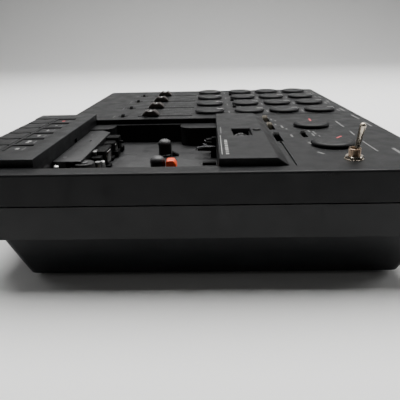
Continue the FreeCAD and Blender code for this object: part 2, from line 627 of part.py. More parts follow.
def rear_jacks():
    jacks = [socket(JACK_X + i * JACK_PITCH, JACK_DEPTH, 5.9, JACK_R) for i in range(JACK_COUNT)]
    jacks.append(socket(JACK_X + JACK_COUNT * JACK_PITCH, INLET_DEPTH, 5.0, INLET_R))
    return jacks


save("upper_shell", upper_shell())
save("lower_shell", lower_shell())
save("rubber_feet", *rubber_feet())
save("key_block", key_block())
for key_name, key_x in zip(("record", "play", "rewind", "fast_forward", "stop_eject", "pause"), key_xs):
    save("key_" + key_name, transport_key(key_x))
save("deck_chassis", *deck_chassis())
save("supply_spindle", reel_spindle(supply_x))
save("takeup_spindle", reel_spindle(takeup_x))
save("capstan_flywheel", capstan_flywheel())
save("head_bridge", head_bridge())
save("pinch_arm", pinch_arm())
save("pinch_roller", pinch_roller())
save("stop_lever", stop_lever())
save("head_cover", head_cover())
save("cassette_hood", cassette_hood())
save("counter_wheels", counter_wheels())
save("counter_reset", counter_reset())
for channel in range(CHANNELS):
    for row_name, row_y in zip(KNOB_NAMES, KNOB_ROWS_Y):
        save(f"{row_name}_knob_{channel + 1}", knob(knob_xs[channel], row_y))
    save(f"fader_cap_{channel + 1}", slider_cap(switch_xs[channel]))
    save(f"track_switch_{channel + 1}", small_switch(switch_xs[channel] - 3.8, TRACK_SWITCH_Y, 3.6, 2.6))
    save(f"input_switch_{channel + 1}", small_switch(switch_xs[channel] - 2.8, INPUT_SWITCH_Y, 3.6, 2.6))
save("pitch_knob", knob(*PITCH_KNOB))
save("level_knob", knob(*LEVEL_KNOB))
for switch_name, slot_x in PANEL_SWITCHES:
    save(f"{switch_name}_switch", small_switch(slot_x + 0.3, PANEL_SWITCH_Y, 6.0, 3.4))
save("speed_switch", small_switch(SPEED_SWITCH[0] + 0.3, SPEED_SWITCH[1], 4.4, 2.6))
save("toggle_bushing", *toggle_bushing())
save("toggle_lever", toggle_lever())
save("circuit_board", circuit_board())
save("rear_jacks", *rear_jacks())
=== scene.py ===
import random
from math import cos, hypot, pi, radians, sin

import bmesh
import bpy
from mathutils import Matrix, Vector


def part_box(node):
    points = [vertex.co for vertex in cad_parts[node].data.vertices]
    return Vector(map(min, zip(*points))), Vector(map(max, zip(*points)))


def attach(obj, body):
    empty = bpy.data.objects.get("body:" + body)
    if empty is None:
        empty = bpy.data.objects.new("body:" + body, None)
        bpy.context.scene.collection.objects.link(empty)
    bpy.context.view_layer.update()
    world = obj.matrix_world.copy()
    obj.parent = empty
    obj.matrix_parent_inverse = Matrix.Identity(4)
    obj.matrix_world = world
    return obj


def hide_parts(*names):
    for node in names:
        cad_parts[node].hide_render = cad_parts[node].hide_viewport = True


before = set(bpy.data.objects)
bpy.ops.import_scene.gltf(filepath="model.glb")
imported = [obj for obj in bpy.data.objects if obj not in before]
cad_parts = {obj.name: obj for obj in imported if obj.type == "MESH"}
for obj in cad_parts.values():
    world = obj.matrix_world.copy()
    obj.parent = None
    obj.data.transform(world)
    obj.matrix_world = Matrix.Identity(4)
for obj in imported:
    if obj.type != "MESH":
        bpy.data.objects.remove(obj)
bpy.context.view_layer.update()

# Lengths in this script are millimetres in the row's frame, and meshes are scaled to metres.
MM = 0.001
CASE = "case"


def span(node):
    """A CAD node's lowest and highest corner, in millimetres."""
    low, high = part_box(node)
    return low / MM, high / MM


def middle(node):
    """The middle of a CAD node in plan, in millimetres."""
    low, high = span(node)
    return (low.x + high.x) / 2, (low.y + high.y) / 2


# --- materials

class Shader:
    """A material's node tree, with short ways to add the nodes used here."""

    def __init__(self, name):
        self.material = bpy.data.materials.new(name)
        self.material.use_nodes = True
        self.tree = self.material.node_tree
        self.bsdf = self.tree.nodes["Principled BSDF"]
        self.place = self.tree.nodes.new("ShaderNodeTexCoord").outputs["Object"]

    def add(self, kind, **inputs):
        """A new node. Each keyword is the name of an input, with _ for a space, and its value."""
        node = self.tree.nodes.new("ShaderNode" + kind)
        for name, value in inputs.items():
            node.inputs[name.replace("_", " ")].default_value = value
        return node

    def link(self, out, target):
        self.tree.links.new(out, target)

    def noise(self, size_mm, detail=2, rough=0.5, stretch=None):
        """Noise of one feature size; stretch draws it out along an axis, for brushed metal."""
        node = self.add("TexNoise", Scale=1 / (size_mm * MM), Detail=detail, Roughness=rough)
        place = self.place
        if stretch is not None:
            mapping = self.add("Mapping", Scale=stretch)
            self.link(place, mapping.inputs["Vector"])
            place = mapping.outputs["Vector"]
        self.link(place, node.inputs["Vector"])
        return node.outputs["Fac"]

    def spread(self, source, low, high, start=0.3, end=0.7):
        """Maps the source's range from start to end onto low to high."""
        node = self.add("MapRange", From_Min=start, From_Max=end, To_Min=low, To_Max=high)
        self.link(source, node.inputs["Value"])
        return node.outputs["Result"]

    def blend(self, factor, first, second):
        node = self.tree.nodes.new("ShaderNodeMix")
        node.data_type = "RGBA"
        self.link(factor, node.inputs["Factor"])
        for socket, value in ((node.inputs["A"], first), (node.inputs["B"], second)):
            if isinstance(value, tuple):
                socket.default_value = (*value, 1)
            else:
                self.link(value, socket)
        return node.outputs["Result"]

    def bump(self, source, depth_mm, strength=1, under=None):
        node = self.add("Bump", Strength=strength, Distance=depth_mm * MM)
        self.link(source, node.inputs["Height"])
        if under is not None:
            self.link(under, node.inputs["Normal"])
        return node.outputs["Normal"]

    def finish(self, colour, rough, normal):
        """Joins colour, roughness and bump to the surface, and returns the material."""
        for name, source in (("Base Color", colour), ("Roughness", rough), ("Normal", normal)):
            self.link(source, self.bsdf.inputs[name])
        return self.material


def shade(colour, factor):
    return tuple(min(1, c * factor) for c in colour)


def plastic(name, colour, rough=0.5, grain=0.45, depth=0.03, mottle=0.12, wear=0, specular=0.5):
    """Moulded plastic: a fine spark-eroded grain, faint mottling, handled patches and rubbed edges."""
    s = Shader(name)
    cloud = s.spread(s.noise(22, 4), 0, 1)
    colours = s.blend(cloud, shade(colour, 1 - mottle), shade(colour, 1 + mottle))
    dust = s.spread(s.noise(3, 5, 0.7), 0, 0.16, 0.6, 0.8)
    colours = s.blend(dust, colours, shade(colour, 2.4))
    if wear > 0:
        edge = s.add("NewGeometry").outputs["Pointiness"]
        colours = s.blend(s.spread(edge, 0, wear, 0.52, 0.6), colours, shade(colour, 4))
    s.bsdf.inputs["Specular IOR Level"].default_value = specular
    fine = s.bump(s.noise(grain), depth, 0.8)
    normal = s.bump(s.noise(grain * 9), depth * 0.6, 0.3, fine)
    return s.finish(colours, s.spread(s.noise(9, 3), rough - 0.07, rough + 0.07), normal)


def metal(name, colour, rough, stretch, depth=0.01):
    """Plated or turned metal: fine drawn lines, dulled here and there."""
    s = Shader(name)
    lines = s.noise(0.4, 3, stretch=stretch)
    spots = s.spread(s.noise(2.5, 4, 0.6), 0, 1, 0.35, 0.75)
    s.bsdf.inputs["Metallic"].default_value = 1
    colours = s.blend(spots, colour, shade(colour, 0.75))
    return s.finish(colours, s.spread(lines, rough - 0.08, rough + 0.1), s.bump(lines, depth, 0.6))


def rubber(name, colour):
    """Moulded rubber: matt, dusty, with a soft grain."""
    s = Shader(name)
    dust = s.spread(s.noise(4, 5, 0.7), 0, 0.5, 0.4, 0.8)
    colours = s.blend(dust, colour, shade(colour, 2.2))
    return s.finish(colours, s.spread(s.noise(2), 0.65, 0.83), s.bump(s.noise(0.3), 0.03, 0.7))


def ink(name, colour):
    """Screen-printed ink: slightly uneven, thinner here and there."""
    s = Shader(name)
    thin = s.noise(0.8, 4, 0.65)
    colours = s.blend(s.spread(thin, 0, 0.6, 0.5, 0.75), colour, shade(colour, 0.72))
    return s.finish(colours, s.spread(thin, 0.45, 0.65), s.bump(s.noise(0.25), 0.01, 0.5))


def studio_paper(name, colour):
    """The backdrop paper: pale, matt, with the faintest tooth."""
    s = Shader(name)
    cloud = s.spread(s.noise(260), 0, 1)
    s.link(s.blend(cloud, shade(colour, 0.985), colour), s.bsdf.inputs["Base Color"])
    s.link(s.bump(s.noise(0.6), 0.02, 0.3), s.bsdf.inputs["Normal"])
    s.bsdf.inputs["Roughness"].default_value = 0.9
    return s.material


DECK = plastic("deck_plastic", (0.0038, 0.0040, 0.0045), 0.47, specular=0.16)
SIDE = plastic("case_plastic", (0.0044, 0.0048, 0.0054), 0.40, specular=0.22)
KEY = plastic("key_plastic", (0.0038, 0.0040, 0.0044), 0.46, grain=0.35, wear=0.3, specular=0.18)
KNOB = plastic("knob_plastic", (0.0038, 0.0040, 0.0044), 0.46, grain=0.3, wear=0.3, specular=0.18)
BLACK = plastic("black_plastic", (0.0022, 0.0022, 0.0024), 0.36, grain=0.5, depth=0.015, specular=0.25)
MATT = plastic("matt_black", (0.0012, 0.0013, 0.0014), 0.55, grain=0.5, depth=0.015, specular=0.07)
# Fader caps: near-black plastic; their faint warm brown is a painted reflection, standing for a warm
# reflection on the caps.
FADER = plastic("fader_plastic", (0.016, 0.0115, 0.0095), 0.48, grain=0.3, wear=0.3, specular=0.3)
SWITCH = plastic("switch_plastic", (0.13, 0.115, 0.09), 0.45, grain=0.3, wear=0.2)
ORANGE = plastic("orange_plastic", (0.86, 0.085, 0.018), 0.38, grain=0.5, depth=0.012, mottle=0.06, wear=0.1)
COUNTER = plastic("counter_plastic", (0.004, 0.004, 0.004), 0.45, grain=0.4, specular=0.15)
BOARD = plastic("board", (0.05, 0.10, 0.04), 0.4, grain=0.6)
PANEL = plastic("jack_plastic", (0.010, 0.010, 0.011), 0.45, grain=0.4, specular=0.3)
CHASSIS = plastic("chassis_paint", (0.016, 0.0162, 0.0168), 0.44, grain=0.6, depth=0.012, specular=0.4)
COVER = plastic("cover_paint", (0.0085, 0.0087, 0.0092), 0.46, grain=0.5, depth=0.012, specular=0.35)
NICKEL = metal("nickel", (0.52, 0.46, 0.38), 0.24, (1, 1, 0.1))
THREAD = metal("thread", (0.34, 0.25, 0.18), 0.34, (1, 1, 0.1))
DARK_STEEL = metal("dark_steel", (0.12, 0.12, 0.125), 0.4, (1, 1, 8))
BRASS = metal("brass", (0.72, 0.52, 0.28), 0.3, (1, 1, 0.1))
STEEL = metal("steel", (0.62, 0.62, 0.61), 0.3, (1, 1, 8))
# Painted highlight: the spindle caps get a lighter grey than the black plastic of the posts, standing for
# the light on their domed tops.
DOME_HIGHLIGHT = plastic("dome_highlight", (0.026, 0.026, 0.027), 0.48, grain=0.6, depth=0.008, specular=0.5)
WORN_STEEL = metal("worn_steel", (0.34, 0.34, 0.335), 0.34, (1, 1, 8))
HEAD = metal("head_metal", (0.36, 0.355, 0.345), 0.16, (1, 1, 6), depth=0.004)
ROLLER = rubber("roller_rubber", (0.004, 0.004, 0.004))
FOOT = rubber("foot_rubber", (0.016, 0.016, 0.016))
WHITE_INK = ink("white_ink", (0.50, 0.50, 0.49))
LABEL_INK = ink("label_ink", (0.12, 0.12, 0.117))
RED_INK = ink("red_ink", (0.55, 0.05, 0.06))
PALE_INK = ink("pale_ink", (0.30, 0.30, 0.29))
KEY_INK = ink("key_ink", (0.36, 0.36, 0.35))
GREY_INK = ink("grey_ink", (0.12, 0.12, 0.12))
BLACK_INK = ink("black_ink", (0.010, 0.010, 0.010))
SCUFF = ink("scuff", (0.24, 0.24, 0.24))


# --- mesh tools

def add_object(name, data):
    obj = bpy.data.objects.new(name, data)
    bpy.context.scene.collection.objects.link(obj)
    return obj


def smooth_object(name, bm, material):
    """Turns a bmesh in millimetres into an object in the scene, shaded smooth."""
    bmesh.ops.recalc_face_normals(bm, faces=bm.faces)
    bm.transform(Matrix.Scale(MM, 4))
    mesh = bpy.data.meshes.new(name)
    bm.to_mesh(mesh)
    bm.free()
    for face in mesh.polygons:
        face.use_smooth = True
    mesh.materials.append(material)
    return add_object(name, mesh)


def piece(name, bm, body, material, stands_for=(), angle=32):
    """Turns a bmesh into a piece that rides on a body. Edges past the angle, in degrees, look sharp."""
    bmesh.ops.remove_doubles(bm, verts=bm.verts, dist=0.0005)
    obj = smooth_object(name, bm, material)
    obj.data.set_sharp_from_angle(angle=radians(angle))
    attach(obj, body)
    for node in stands_for:
        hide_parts(node)


def bevel(bm, edges, width, steps):
    bmesh.ops.bevel(bm, geom=edges, offset=width, segments=steps, profile=0.5, affect="EDGES")


def soften(bm, faces, width, steps=2, limit=35):
    """Rounds the sharp edges of the given faces."""
    edges = {e for f in faces for e in f.edges if len(e.link_faces) == 2}
    sharp = [e for e in edges if e.calc_face_angle(0) > radians(limit)]
    if sharp and width > 0:
        bevel(bm, sharp, width, steps)


def walls(bm, under, over):
    """Joins two rings of vertices with a band of faces. Either ring can be one vertex, the band's tip."""
    faces = []
    count = max(len(under), len(over))
    for i in range(count):
        j = (i + 1) % count
        corners = (under[i % len(under)], under[j % len(under)], over[j % len(over)], over[i % len(over)])
        faces.append(bm.faces.new(tuple(dict.fromkeys(corners))))
    return faces


def prism(bm, points, low, high, lie, width=0.3, steps=2):
    """An outline swept from low to high. lie turns (u, v, w) into a place."""
    start = [bm.verts.new(lie(u, v, low)) for u, v in points]
    end = [bm.verts.new(lie(u, v, high)) for u, v in points]
    faces = [bm.faces.new(list(reversed(start))), bm.faces.new(end)]
    faces += walls(bm, start, end)
    bmesh.ops.recalc_face_normals(bm, faces=faces)
    soften(bm, faces, width, steps)


def upright(u, v, w):
    return Vector((u, v, w))


def along_x(u, v, w):
    return Vector((w, u, v))


def along_y(u, v, w):
    return Vector((u, w, v))


def rect(x0, y0, x1, y1):
    return [(x0, y0), (x1, y0), (x1, y1), (x0, y1)]


def block(bm, x0, x1, y0, y1, z0, z1, width=0.3, steps=2):
    prism(bm, rect(x0, y0, x1, y1), z0, z1, upright, width, steps)


def lathe(bm, centre, profile, steps=48, axis=(0, 0, 1), waves=0):
    """Turns a profile of (radius, height) or (radius, height, wave) round an axis, and closes its ends."""
    centre = Vector(centre)
    turn = Vector(axis).to_track_quat("Z", "Y").to_matrix()
    rows = []
    for radius, height, *wave in profile:
        row = []
        for i in range(steps if radius > 0 else 1):
            a = 2 * pi * i / steps
            r = radius + (wave[0] * cos(a * waves) if wave else 0)
            row.append(bm.verts.new(centre + turn @ Vector((r * cos(a), r * sin(a), height))))
        rows.append(row)
    for low, high in zip(rows, rows[1:]):
        walls(bm, low, high)
    if len(rows[0]) > 1 and len(rows[-1]) > 1 and profile[0][:2] != profile[-1][:2]:
        bm.faces.new(list(reversed(rows[0])))
        bm.faces.new(rows[-1])


def sleeve(bm, centre, section, steps=48, axis=(0, 0, 1)):
    """A ring or tube: a closed section of (radius, height) turned round an axis."""
    lathe(bm, centre, section + section[:1], steps, axis)


def wire(bm, points, radius, sides=8):
    """A round wire through the points."""
    points = [Vector(p) for p in points]
    rows = []
    side = None
    for i, p in enumerate(points):
        ahead = (points[min(i + 1, len(points) - 1)] - points[max(i - 1, 0)]).normalized()
        if side is None:
            side = ahead.orthogonal().normalized()
        side = (side - ahead * side.dot(ahead)).normalized()
        other = ahead.cross(side)
        row = []
        for k in range(sides):
            a = 2 * pi * k / sides
            row.append(bm.verts.new(p + side * radius * cos(a) + other * radius * sin(a)))
        rows.append(row)
    for low, high in zip(rows, rows[1:]):
        walls(bm, low, high)
    bm.faces.new(list(reversed(rows[0])))
    bm.faces.new(rows[-1])


def coil(bm, start, end, radius, gauge, turns, steps=12):
    """A coil spring between two points, with straight ends."""
    start, end = Vector(start), Vector(end)
    along = (end - start).normalized()
    side = along.orthogonal().normalized()
    other = along.cross(side)
    count = int(turns * steps)
    points = []
    for i in range(count + 1):
        a = 2 * pi * i / steps
        centre = start.lerp(end, 0.1 + 0.8 * i / count)
        points.append(centre + side * radius * cos(a) + other * radius * sin(a))
    wire(bm, [start, *points, end], gauge, 6)


def screw(bm, x, y, z, radius=1.6, tall=0.8):
    """A pan-head screw with a round recess."""
    dome = [(0, 0), (radius, 0), (radius, tall * 0.5), (radius * 0.75, tall * 0.9), (radius * 0.5, tall)]
    slot = radius * 0.5
    lathe(bm, (x, y, z), dome + [(slot, tall), (slot * 0.55, tall * 0.45), (0, tall * 0.4)], 20)


def printed(name, strips, z, material, thick=0.04):
    """Flat printed marks on the case, each a polygon of (x, y) points, just proud of the surface at z."""
    bm = bmesh.new()
    for points in strips:
        prism(bm, points, z - 0.01, z + thick, upright, 0)
    piece(name, bm, CASE, material)


def bar(x0, y0, x1, y1, thick):
    """A straight printed stroke."""
    dx, dy = x1 - x0, y1 - y0
    length = hypot(dx, dy)
    nx, ny = -dy / length * thick / 2, dx / length * thick / 2
    return [(x0 - nx, y0 - ny), (x1 - nx, y1 - ny), (x1 + nx, y1 + ny), (x0 + nx, y0 + ny)]


def spoke(x, y, angle, inner, outer, thick):
    """A stroke that points away from (x, y) at an angle in degrees, between two radii."""
    c, s = cos(radians(angle)), sin(radians(angle))
    return bar(x + inner * c, y + inner * s, x + outer * c, y + outer * s, thick)


def dot(x, y, radius, steps=16):
    turns = [2 * pi * i / steps for i in range(steps)]
    return [(x + radius * cos(a), y + radius * sin(a)) for a in turns]


KNOB_TRAVEL = 300


def scale_ticks(x, y, radius, length, count, thick):
    """Tick marks round a knob, from one end of its travel to the other."""
    ticks = []
    for i in range(count):
        angle = 90 + KNOB_TRAVEL / 2 - KNOB_TRAVEL * i / (count - 1)
        reach = length * (1.6 if i in (0, count // 2, count - 1) else 1)
        ticks.append(spoke(x, y, angle, radius, radius + reach, thick))
    return ticks


# --- places that several pieces share

HEAD_SETBACK = 2.2
PINCH_PIVOT = (130, -66)
KEYS = ["record", "play", "rewind", "fast_forward", "stop_eject", "pause"]

case_high = span("upper_shell")[1]
deck_z = case_high.z
block_low, block_high = span("key_block")
cover_low, cover_high = span("cassette_hood")
well_floor = span("head_cover")[0].z
bridge_low, bridge_high = span("head_bridge")
supply_x, takeup_x = middle("supply_spindle")[0], middle("takeup_spindle")[0]
# the heads' datum: midway between the spindles, just short of the bridge's rear edge
HEADS = ((supply_x + takeup_x) / 2, bridge_high.y - HEAD_SETBACK, bridge_low.z)


# --- transport keys

CHEEK_LEFT, CHEEK_RIGHT, CHEEK_DEPTH = 15.5, 17, 16.7
POCKET_HALF, POCKET_DEPTH = 6.9, 0.75
KEY_HALF, KEY_LENGTH = 7.05, 15.5
SYMBOL_Y, CAPTION_Y = -95.8, -92


def key_symbol(name, x, y):
    """The mark behind a key, as polygons."""
    h, w = 1, 0.9

    def triangle(left, right):
        return [(left, y - h), (right, y), (left, y + h)]

    return {
        "record": [dot(x, y, 1.2)],
        "play": [triangle(x - w, x + w)],
        "rewind": [triangle(x, x - 2 * w), triangle(x + 2 * w, x)],
        "fast_forward": [triangle(x - 2 * w, x), triangle(x, x + 2 * w)],
        "stop_eject": [rect(x - 2.7, y - h, x - 0.5, y + h),
                       [(x + 0.5, y - h + 0.8), (x + 2.7, y - h + 0.8), (x + 1.6, y + h)],
                       rect(x + 0.5, y - h, x + 2.7, y - h + 0.4)],
        "pause": [rect(x - 1.3, y - h, x - 0.4, y + h), rect(x + 0.4, y - h, x + 1.3, y + h)],
    }[name]


def key_housing():
    """The housing over the keys' pivots, with a shallow label pocket behind each key."""
    x0, x1, y0, y1 = block_low.x, block_high.x, block_low.y, block_high.y
    top, skirt = block_high.z, deck_z + 0.03
    back = y0 + 16.2
    pockets = []
    for name in KEYS:
        x = middle("key_" + name)[0]
        pockets += [x - POCKET_HALF, x + POCKET_HALF]
    xs = [x0, x0 + CHEEK_LEFT] + pockets + [x1 - CHEEK_RIGHT, x1]
    ys = [y0, back, back + 1.4, back + 14, y1]
    bm = bmesh.new()
    grid = [[bm.verts.new((a, b, top)) for b in ys] for a in xs]
    pocket_edges = []
    for i in range(len(xs) - 1):
        for j in range(len(ys) - 1):
            if j == 0 and 0 < i < len(xs) - 2:
                continue
            corners = [grid[i][j], grid[i + 1][j], grid[i + 1][j + 1], grid[i][j + 1]]
            if j == 2 and i % 2 == 0 and 2 <= i <= 2 * len(KEYS):
                deep = [bm.verts.new(v.co - Vector((0, 0, POCKET_DEPTH))) for v in corners]
                bm.faces.new(deep)
                walls(bm, corners, deep)
                pocket_edges += zip(corners, deep)
            else:
                bm.faces.new(corners)
    rim = [e for e in bm.edges if len(e.link_faces) == 1]
    low_of = {}
    for e in rim:
        for v in e.verts:
            if v not in low_of:
                low_of[v] = bm.verts.new((v.co.x, v.co.y, skirt))
    for e in rim:
        a, b = e.verts
        bm.faces.new((a, b, low_of[b], low_of[a]))
    bmesh.ops.recalc_face_normals(bm, faces=bm.faces)
    bevel(bm, [bm.edges.get(pair) for pair in pocket_edges], 1.3, 4)
    soften(bm, list(bm.faces), 0.28, 3)
    piece("key_housing", bm, CASE, KEY, ["key_block"], 40)
    bm = bmesh.new()
    low_z = block_low.z
    left, right = x0 + CHEEK_LEFT, x1 - CHEEK_RIGHT
    for cheek_x0, cheek_x1 in ((x0, left), (right, x1)):
        block(bm, cheek_x0, cheek_x1, y0, y0 + CHEEK_DEPTH, low_z, skirt, 0.5, 3)
    block(bm, left - 0.5, right + 0.5, y0, y0 + CHEEK_DEPTH, low_z, low_z + 1.6)
    block(bm, left - 0.5, right + 0.5, back - 0.6, back, low_z, top - 3, 0.1)
    piece("key_tray", bm, CASE, KEY)


def transport_keys():
    """The key caps, each with its stem, pivot boss and printed symbol."""
    captions = []
    pocket_z = block_high.z - POCKET_DEPTH
    for name in KEYS:
        node = "key_" + name
        low, high = span(node)
        x, y0, top = middle(node)[0], low.y, high.z
        y1, pivot_y = y0 + KEY_LENGTH, high.y - 3.2
        bm = bmesh.new()
        side = [(y0, low.z), (y0 + 1.7, low.z), (y0 + 2, top - 3.2), (y1, top - 3.2), (y1, top - 0.5),
                (y1 - 0.5, top - 0.05), (y1 - 3, top - 0.12), (y0 + 7.5, top - 0.32),
                (y0 + 2.6, top - 0.1), (y0 + 1, top - 0.02), (y0 + 0.25, top - 0.6), (y0, top - 1.4)]
        prism(bm, side, x - KEY_HALF, x + KEY_HALF, along_x, 0.45, 3)
        block(bm, x - 3, x + 3, y0 + 1.5, pivot_y, top - 8.6, top - 3, 0.4)
        sleeve(bm, (x - 5, pivot_y, top - 8), [(1.6, 0), (3.1, 0), (3.1, 10), (1.6, 10)], 24, (1, 0, 0))
        piece(node + "_cap", bm, node, KEY, [node])
        material = RED_INK if name == "record" else KEY_INK
        symbol = key_symbol(name, x - 1, SYMBOL_Y)
        printed(node + "_symbol", symbol, pocket_z, material)
        captions.append(bar(x - 3.4, CAPTION_Y, x + 2.4, CAPTION_Y, 0.5))
    printed("key_captions", captions, pocket_z, GREY_INK)


# --- rotary controls

POINTER_WIDTH = 0.9


def knob(node, start, end, ink_material, angle):
    """A flat knob: a fluted rim, a rolled edge, a faintly dished top and a pointer groove."""
    low, high = span(node)
    x, y = middle(node)
    top, r = high.z, (high.x - low.x) / 2
    base = top - 2.3
    flute = 0.12
    bm = bmesh.new()
    profile = [(2.9, low.z), (2.9, base), (r - 1.6, base), (r - 0.9, base + 0.12),
            (r - 0.25, base + 0.3, flute), (r - 0.22, top - 1.4, flute), (r - 0.55, top - 0.8, 0.05),
            (r - 1.2, top - 0.3),
            (r - 2.2, top - 0.02), (r - 3.2, top - 0.03), (r * 0.45, top - 0.08), (0, top - 0.1)]
    lathe(bm, (x, y, 0), profile, 144, waves=48)
    piece(node + "_cap", bm, node, KNOB, [node], 40)
    bm = bmesh.new()
    on_top = spoke(x, y, angle, r * start, r * end, POINTER_WIDTH)
    prism(bm, on_top, top - 0.3, top - 0.002, upright, 0)
    on_rim = spoke(x, y, angle, r - 1.2, r - 0.12, POINTER_WIDTH)
    prism(bm, on_rim, top - 2, top - 0.55, upright, 0)
    piece(node + "_pointer", bm, node, ink_material)


def rotary_controls():
    ticks = []
    for channel in range(1, 5):
        for row in ("send", "pan", "tone", "gain"):
            node = f"{row}_knob_{channel}"
            knob(node, 0.5, 0.9, WHITE_INK, 90)
            ticks += scale_ticks(*middle(node), 12.6, 0.9, 9 if row == "pan" else 11, 0.35)
    printed("channel_scales", ticks, deck_z, GREY_INK)
    ticks = []
    for node, angle, start in (("pitch_knob", 176, 0.25), ("level_knob", 141, 0.42)):
        knob(node, start, 0.92, RED_INK, angle)
        ticks += scale_ticks(*middle(node), 12.8, 1.1, 11, 0.45)
    printed("master_scales", ticks, deck_z, LABEL_INK)


# --- slide controls

FADER_SCALE_Y, FADER_STEP = -47, 3.85


def ribbed_cap(node, material, ribs, top_drop=0.35):
    """A slide switch's cap: a block with ridges across its top."""
    low, high = span(node)
    bm = bmesh.new()
    block(bm, low.x, high.x, low.y, high.y, low.z, high.z - top_drop, 0.25)
    pitch = (high.x - low.x) / ribs
    foot, crest, w = high.z - top_drop - 0.1, high.z, pitch * 0.26
    for i in range(ribs):
        c = (low.x + high.x) / 2 + pitch * (i + 0.5 - ribs / 2)
        ridge = [(c - w, foot), (c + w, foot), (c + w * 0.5, crest), (c - w * 0.5, crest)]
        prism(bm, ridge, low.y + 0.2, high.y - 0.2, along_y, 0)
    piece(node + "_cap", bm, node, material, [node])


def fader(node):
    """A fader's cap: waisted sides, finger ridges and a pale line across its dip."""
    low, high = span(node)
    x, y = middle(node)
    z0, top = deck_z + 0.5, high.z
    half_x, half_y = 4.45, 6.45
    side = [(-half_y, z0), (half_y, z0), (half_y, z0 + 1.1), (4.9, top - 1.7), (3.2, top - 0.25),
            (2.4, top), (1.3, top - 0.75), (-1.3, top - 0.75), (-2.4, top), (-3.2, top - 0.25),
            (-4.9, top - 1.7), (-half_y, z0 + 1.1)]
    bm = bmesh.new()
    prism(bm, [(y + v, w) for v, w in side], x - half_x, x + half_x, along_x, 0.8, 4)
    for i in (-5.4, -4.6, -3.8, 3.8, 4.6, 5.4):
        w = top - 0.25 - (abs(i) - 3.2) * 0.95
        block(bm, x - 3.4, x + 3.4, y + i - 0.14, y + i + 0.14, w - 0.6, w + 0.1, 0)
    block(bm, x - 0.9, x + 0.9, y - 2, y + 2, low.z, z0 + 0.4, 0)
    piece(node + "_cap", bm, node, FADER, [node])
    bm = bmesh.new()
    block(bm, x - 3.7, x + 3.7, y - 0.4, y + 0.4, top - 0.95, top - 0.7, 0)
    piece(node + "_line", bm, node, PALE_INK)


def slide_controls():
    scale, surrounds = [], []
    for channel in range(1, 5):
        fader(f"fader_cap_{channel}")
        x = middle(f"fader_cap_{channel}")[0]
        for i in range(11):
            y = FADER_SCALE_Y + i * FADER_STEP
            wide = 2.6 if i in (0, 5, 10) else 1.5
            scale.append(bar(x - 7.2 - wide, y, x - 7.2, y, 0.4))
            scale.append(bar(x + 7.2, y, x + 7.2 + wide, y, 0.4))
        for row in ("track_switch", "input_switch"):
            ribbed_cap(f"{row}_{channel}", BLACK, 3)
        x, y = middle(f"track_switch_{channel}")
        surrounds.append(rect(x - 3, y - 3.8, x + 3, y + 3.8))
    printed("switch_surrounds", surrounds, deck_z, MATT, thick=0.02)
    printed("fader_scales", scale, deck_z, GREY_INK)
    for node in ("reverb_switch", "monitor_switch"):
        ribbed_cap(node, SWITCH, 5, 0.45)
    for node in ("dubbing_switch", "speed_switch"):
        ribbed_cap(node, BLACK, 5, 0.45)


# --- toggle switch

NUT_ACROSS_FLATS, NUT_CHAMFER, BUSHING_HOLE = 8, 4.1, 3.05
THREADS, THREAD_PITCH = 10, 0.5
LEVER_TURN, LEVER_TILT = 24, 12


def toggle_fixings():
    """The toggle switch's toothed washer, hexagon nut, threaded tube and body."""
    x, y = middle("toggle_bushing")
    z = deck_z
    hole = BUSHING_HOLE
    bm = bmesh.new()
    sleeve(bm, (x, y, z), [(hole, 0.02), (4.6, 0.02), (4.7, 0.08), (4.7, 0.2), (4.6, 0.26), (hole, 0.26)])
    corners = ((4.2, 0.2), (4.2, -0.2), (4.65, -0.35), (4.65, 0.35))
    for i in range(12):
        c, s = cos(radians(30 * i)), sin(radians(30 * i))
        tooth = [(x + c * r - s * t, y + s * r + c * t) for r, t in corners]
        prism(bm, tooth, z + 0.2, z + 0.34, upright, 0.05, 1)
    piece("toggle_washer", bm, CASE, NICKEL)
    bm = bmesh.new()
    steps = 48
    rows = []
    edge = NUT_CHAMFER
    for limit, height in ((hole, 0.3), (edge, 0.3), (9, 0.55), (9, 1.35), (edge, 1.65), (hole, 1.65)):
        row = []
        for i in range(steps):
            a = 2 * pi * i / steps + radians(30)
            from_flat = radians((i * 360 / steps) % 60 - 30)
            r = min(limit, NUT_ACROSS_FLATS / 2 / cos(from_flat))
            row.append(bm.verts.new((x + r * cos(a), y + r * sin(a), z + height)))
        rows.append(row)
    for low, high in zip(rows, rows[1:] + rows[:1]):
        walls(bm, low, high)
    piece("toggle_nut", bm, CASE, NICKEL, ["toggle_bushing"], 20)
    section = [(2.75, -4.9), (2.75, 0)]
    for k in range(THREADS):
        h = 0.3 + THREAD_PITCH * k
        section += [(2.72, h), (2.98, h + 0.2), (2.98, h + 0.24), (2.72, h + 0.44)]
    section += [(2.8, 5.2), (2.75, 5.5), (2.45, 5.48), (2.2, 4.2), (2.1, 2), (2.1, -4.9)]
    bm = bmesh.new()
    sleeve(bm, (x, y, z), section)
    piece("toggle_tube", bm, CASE, THREAD, angle=25)
    bm = bmesh.new()
    block(bm, x - 6.5, x + 6.5, y - 4, y + 4, z - 14, z - 4.95, 0.4)
    pins_end = span("toggle_bushing")[0].z
    for i in (-4, 0, 4):
        block(bm, x + i - 0.35, x + i + 0.35, y - 1, y + 1, pins_end, z - 13.8, 0.1)
    piece("toggle_can", bm, CASE, BLACK)


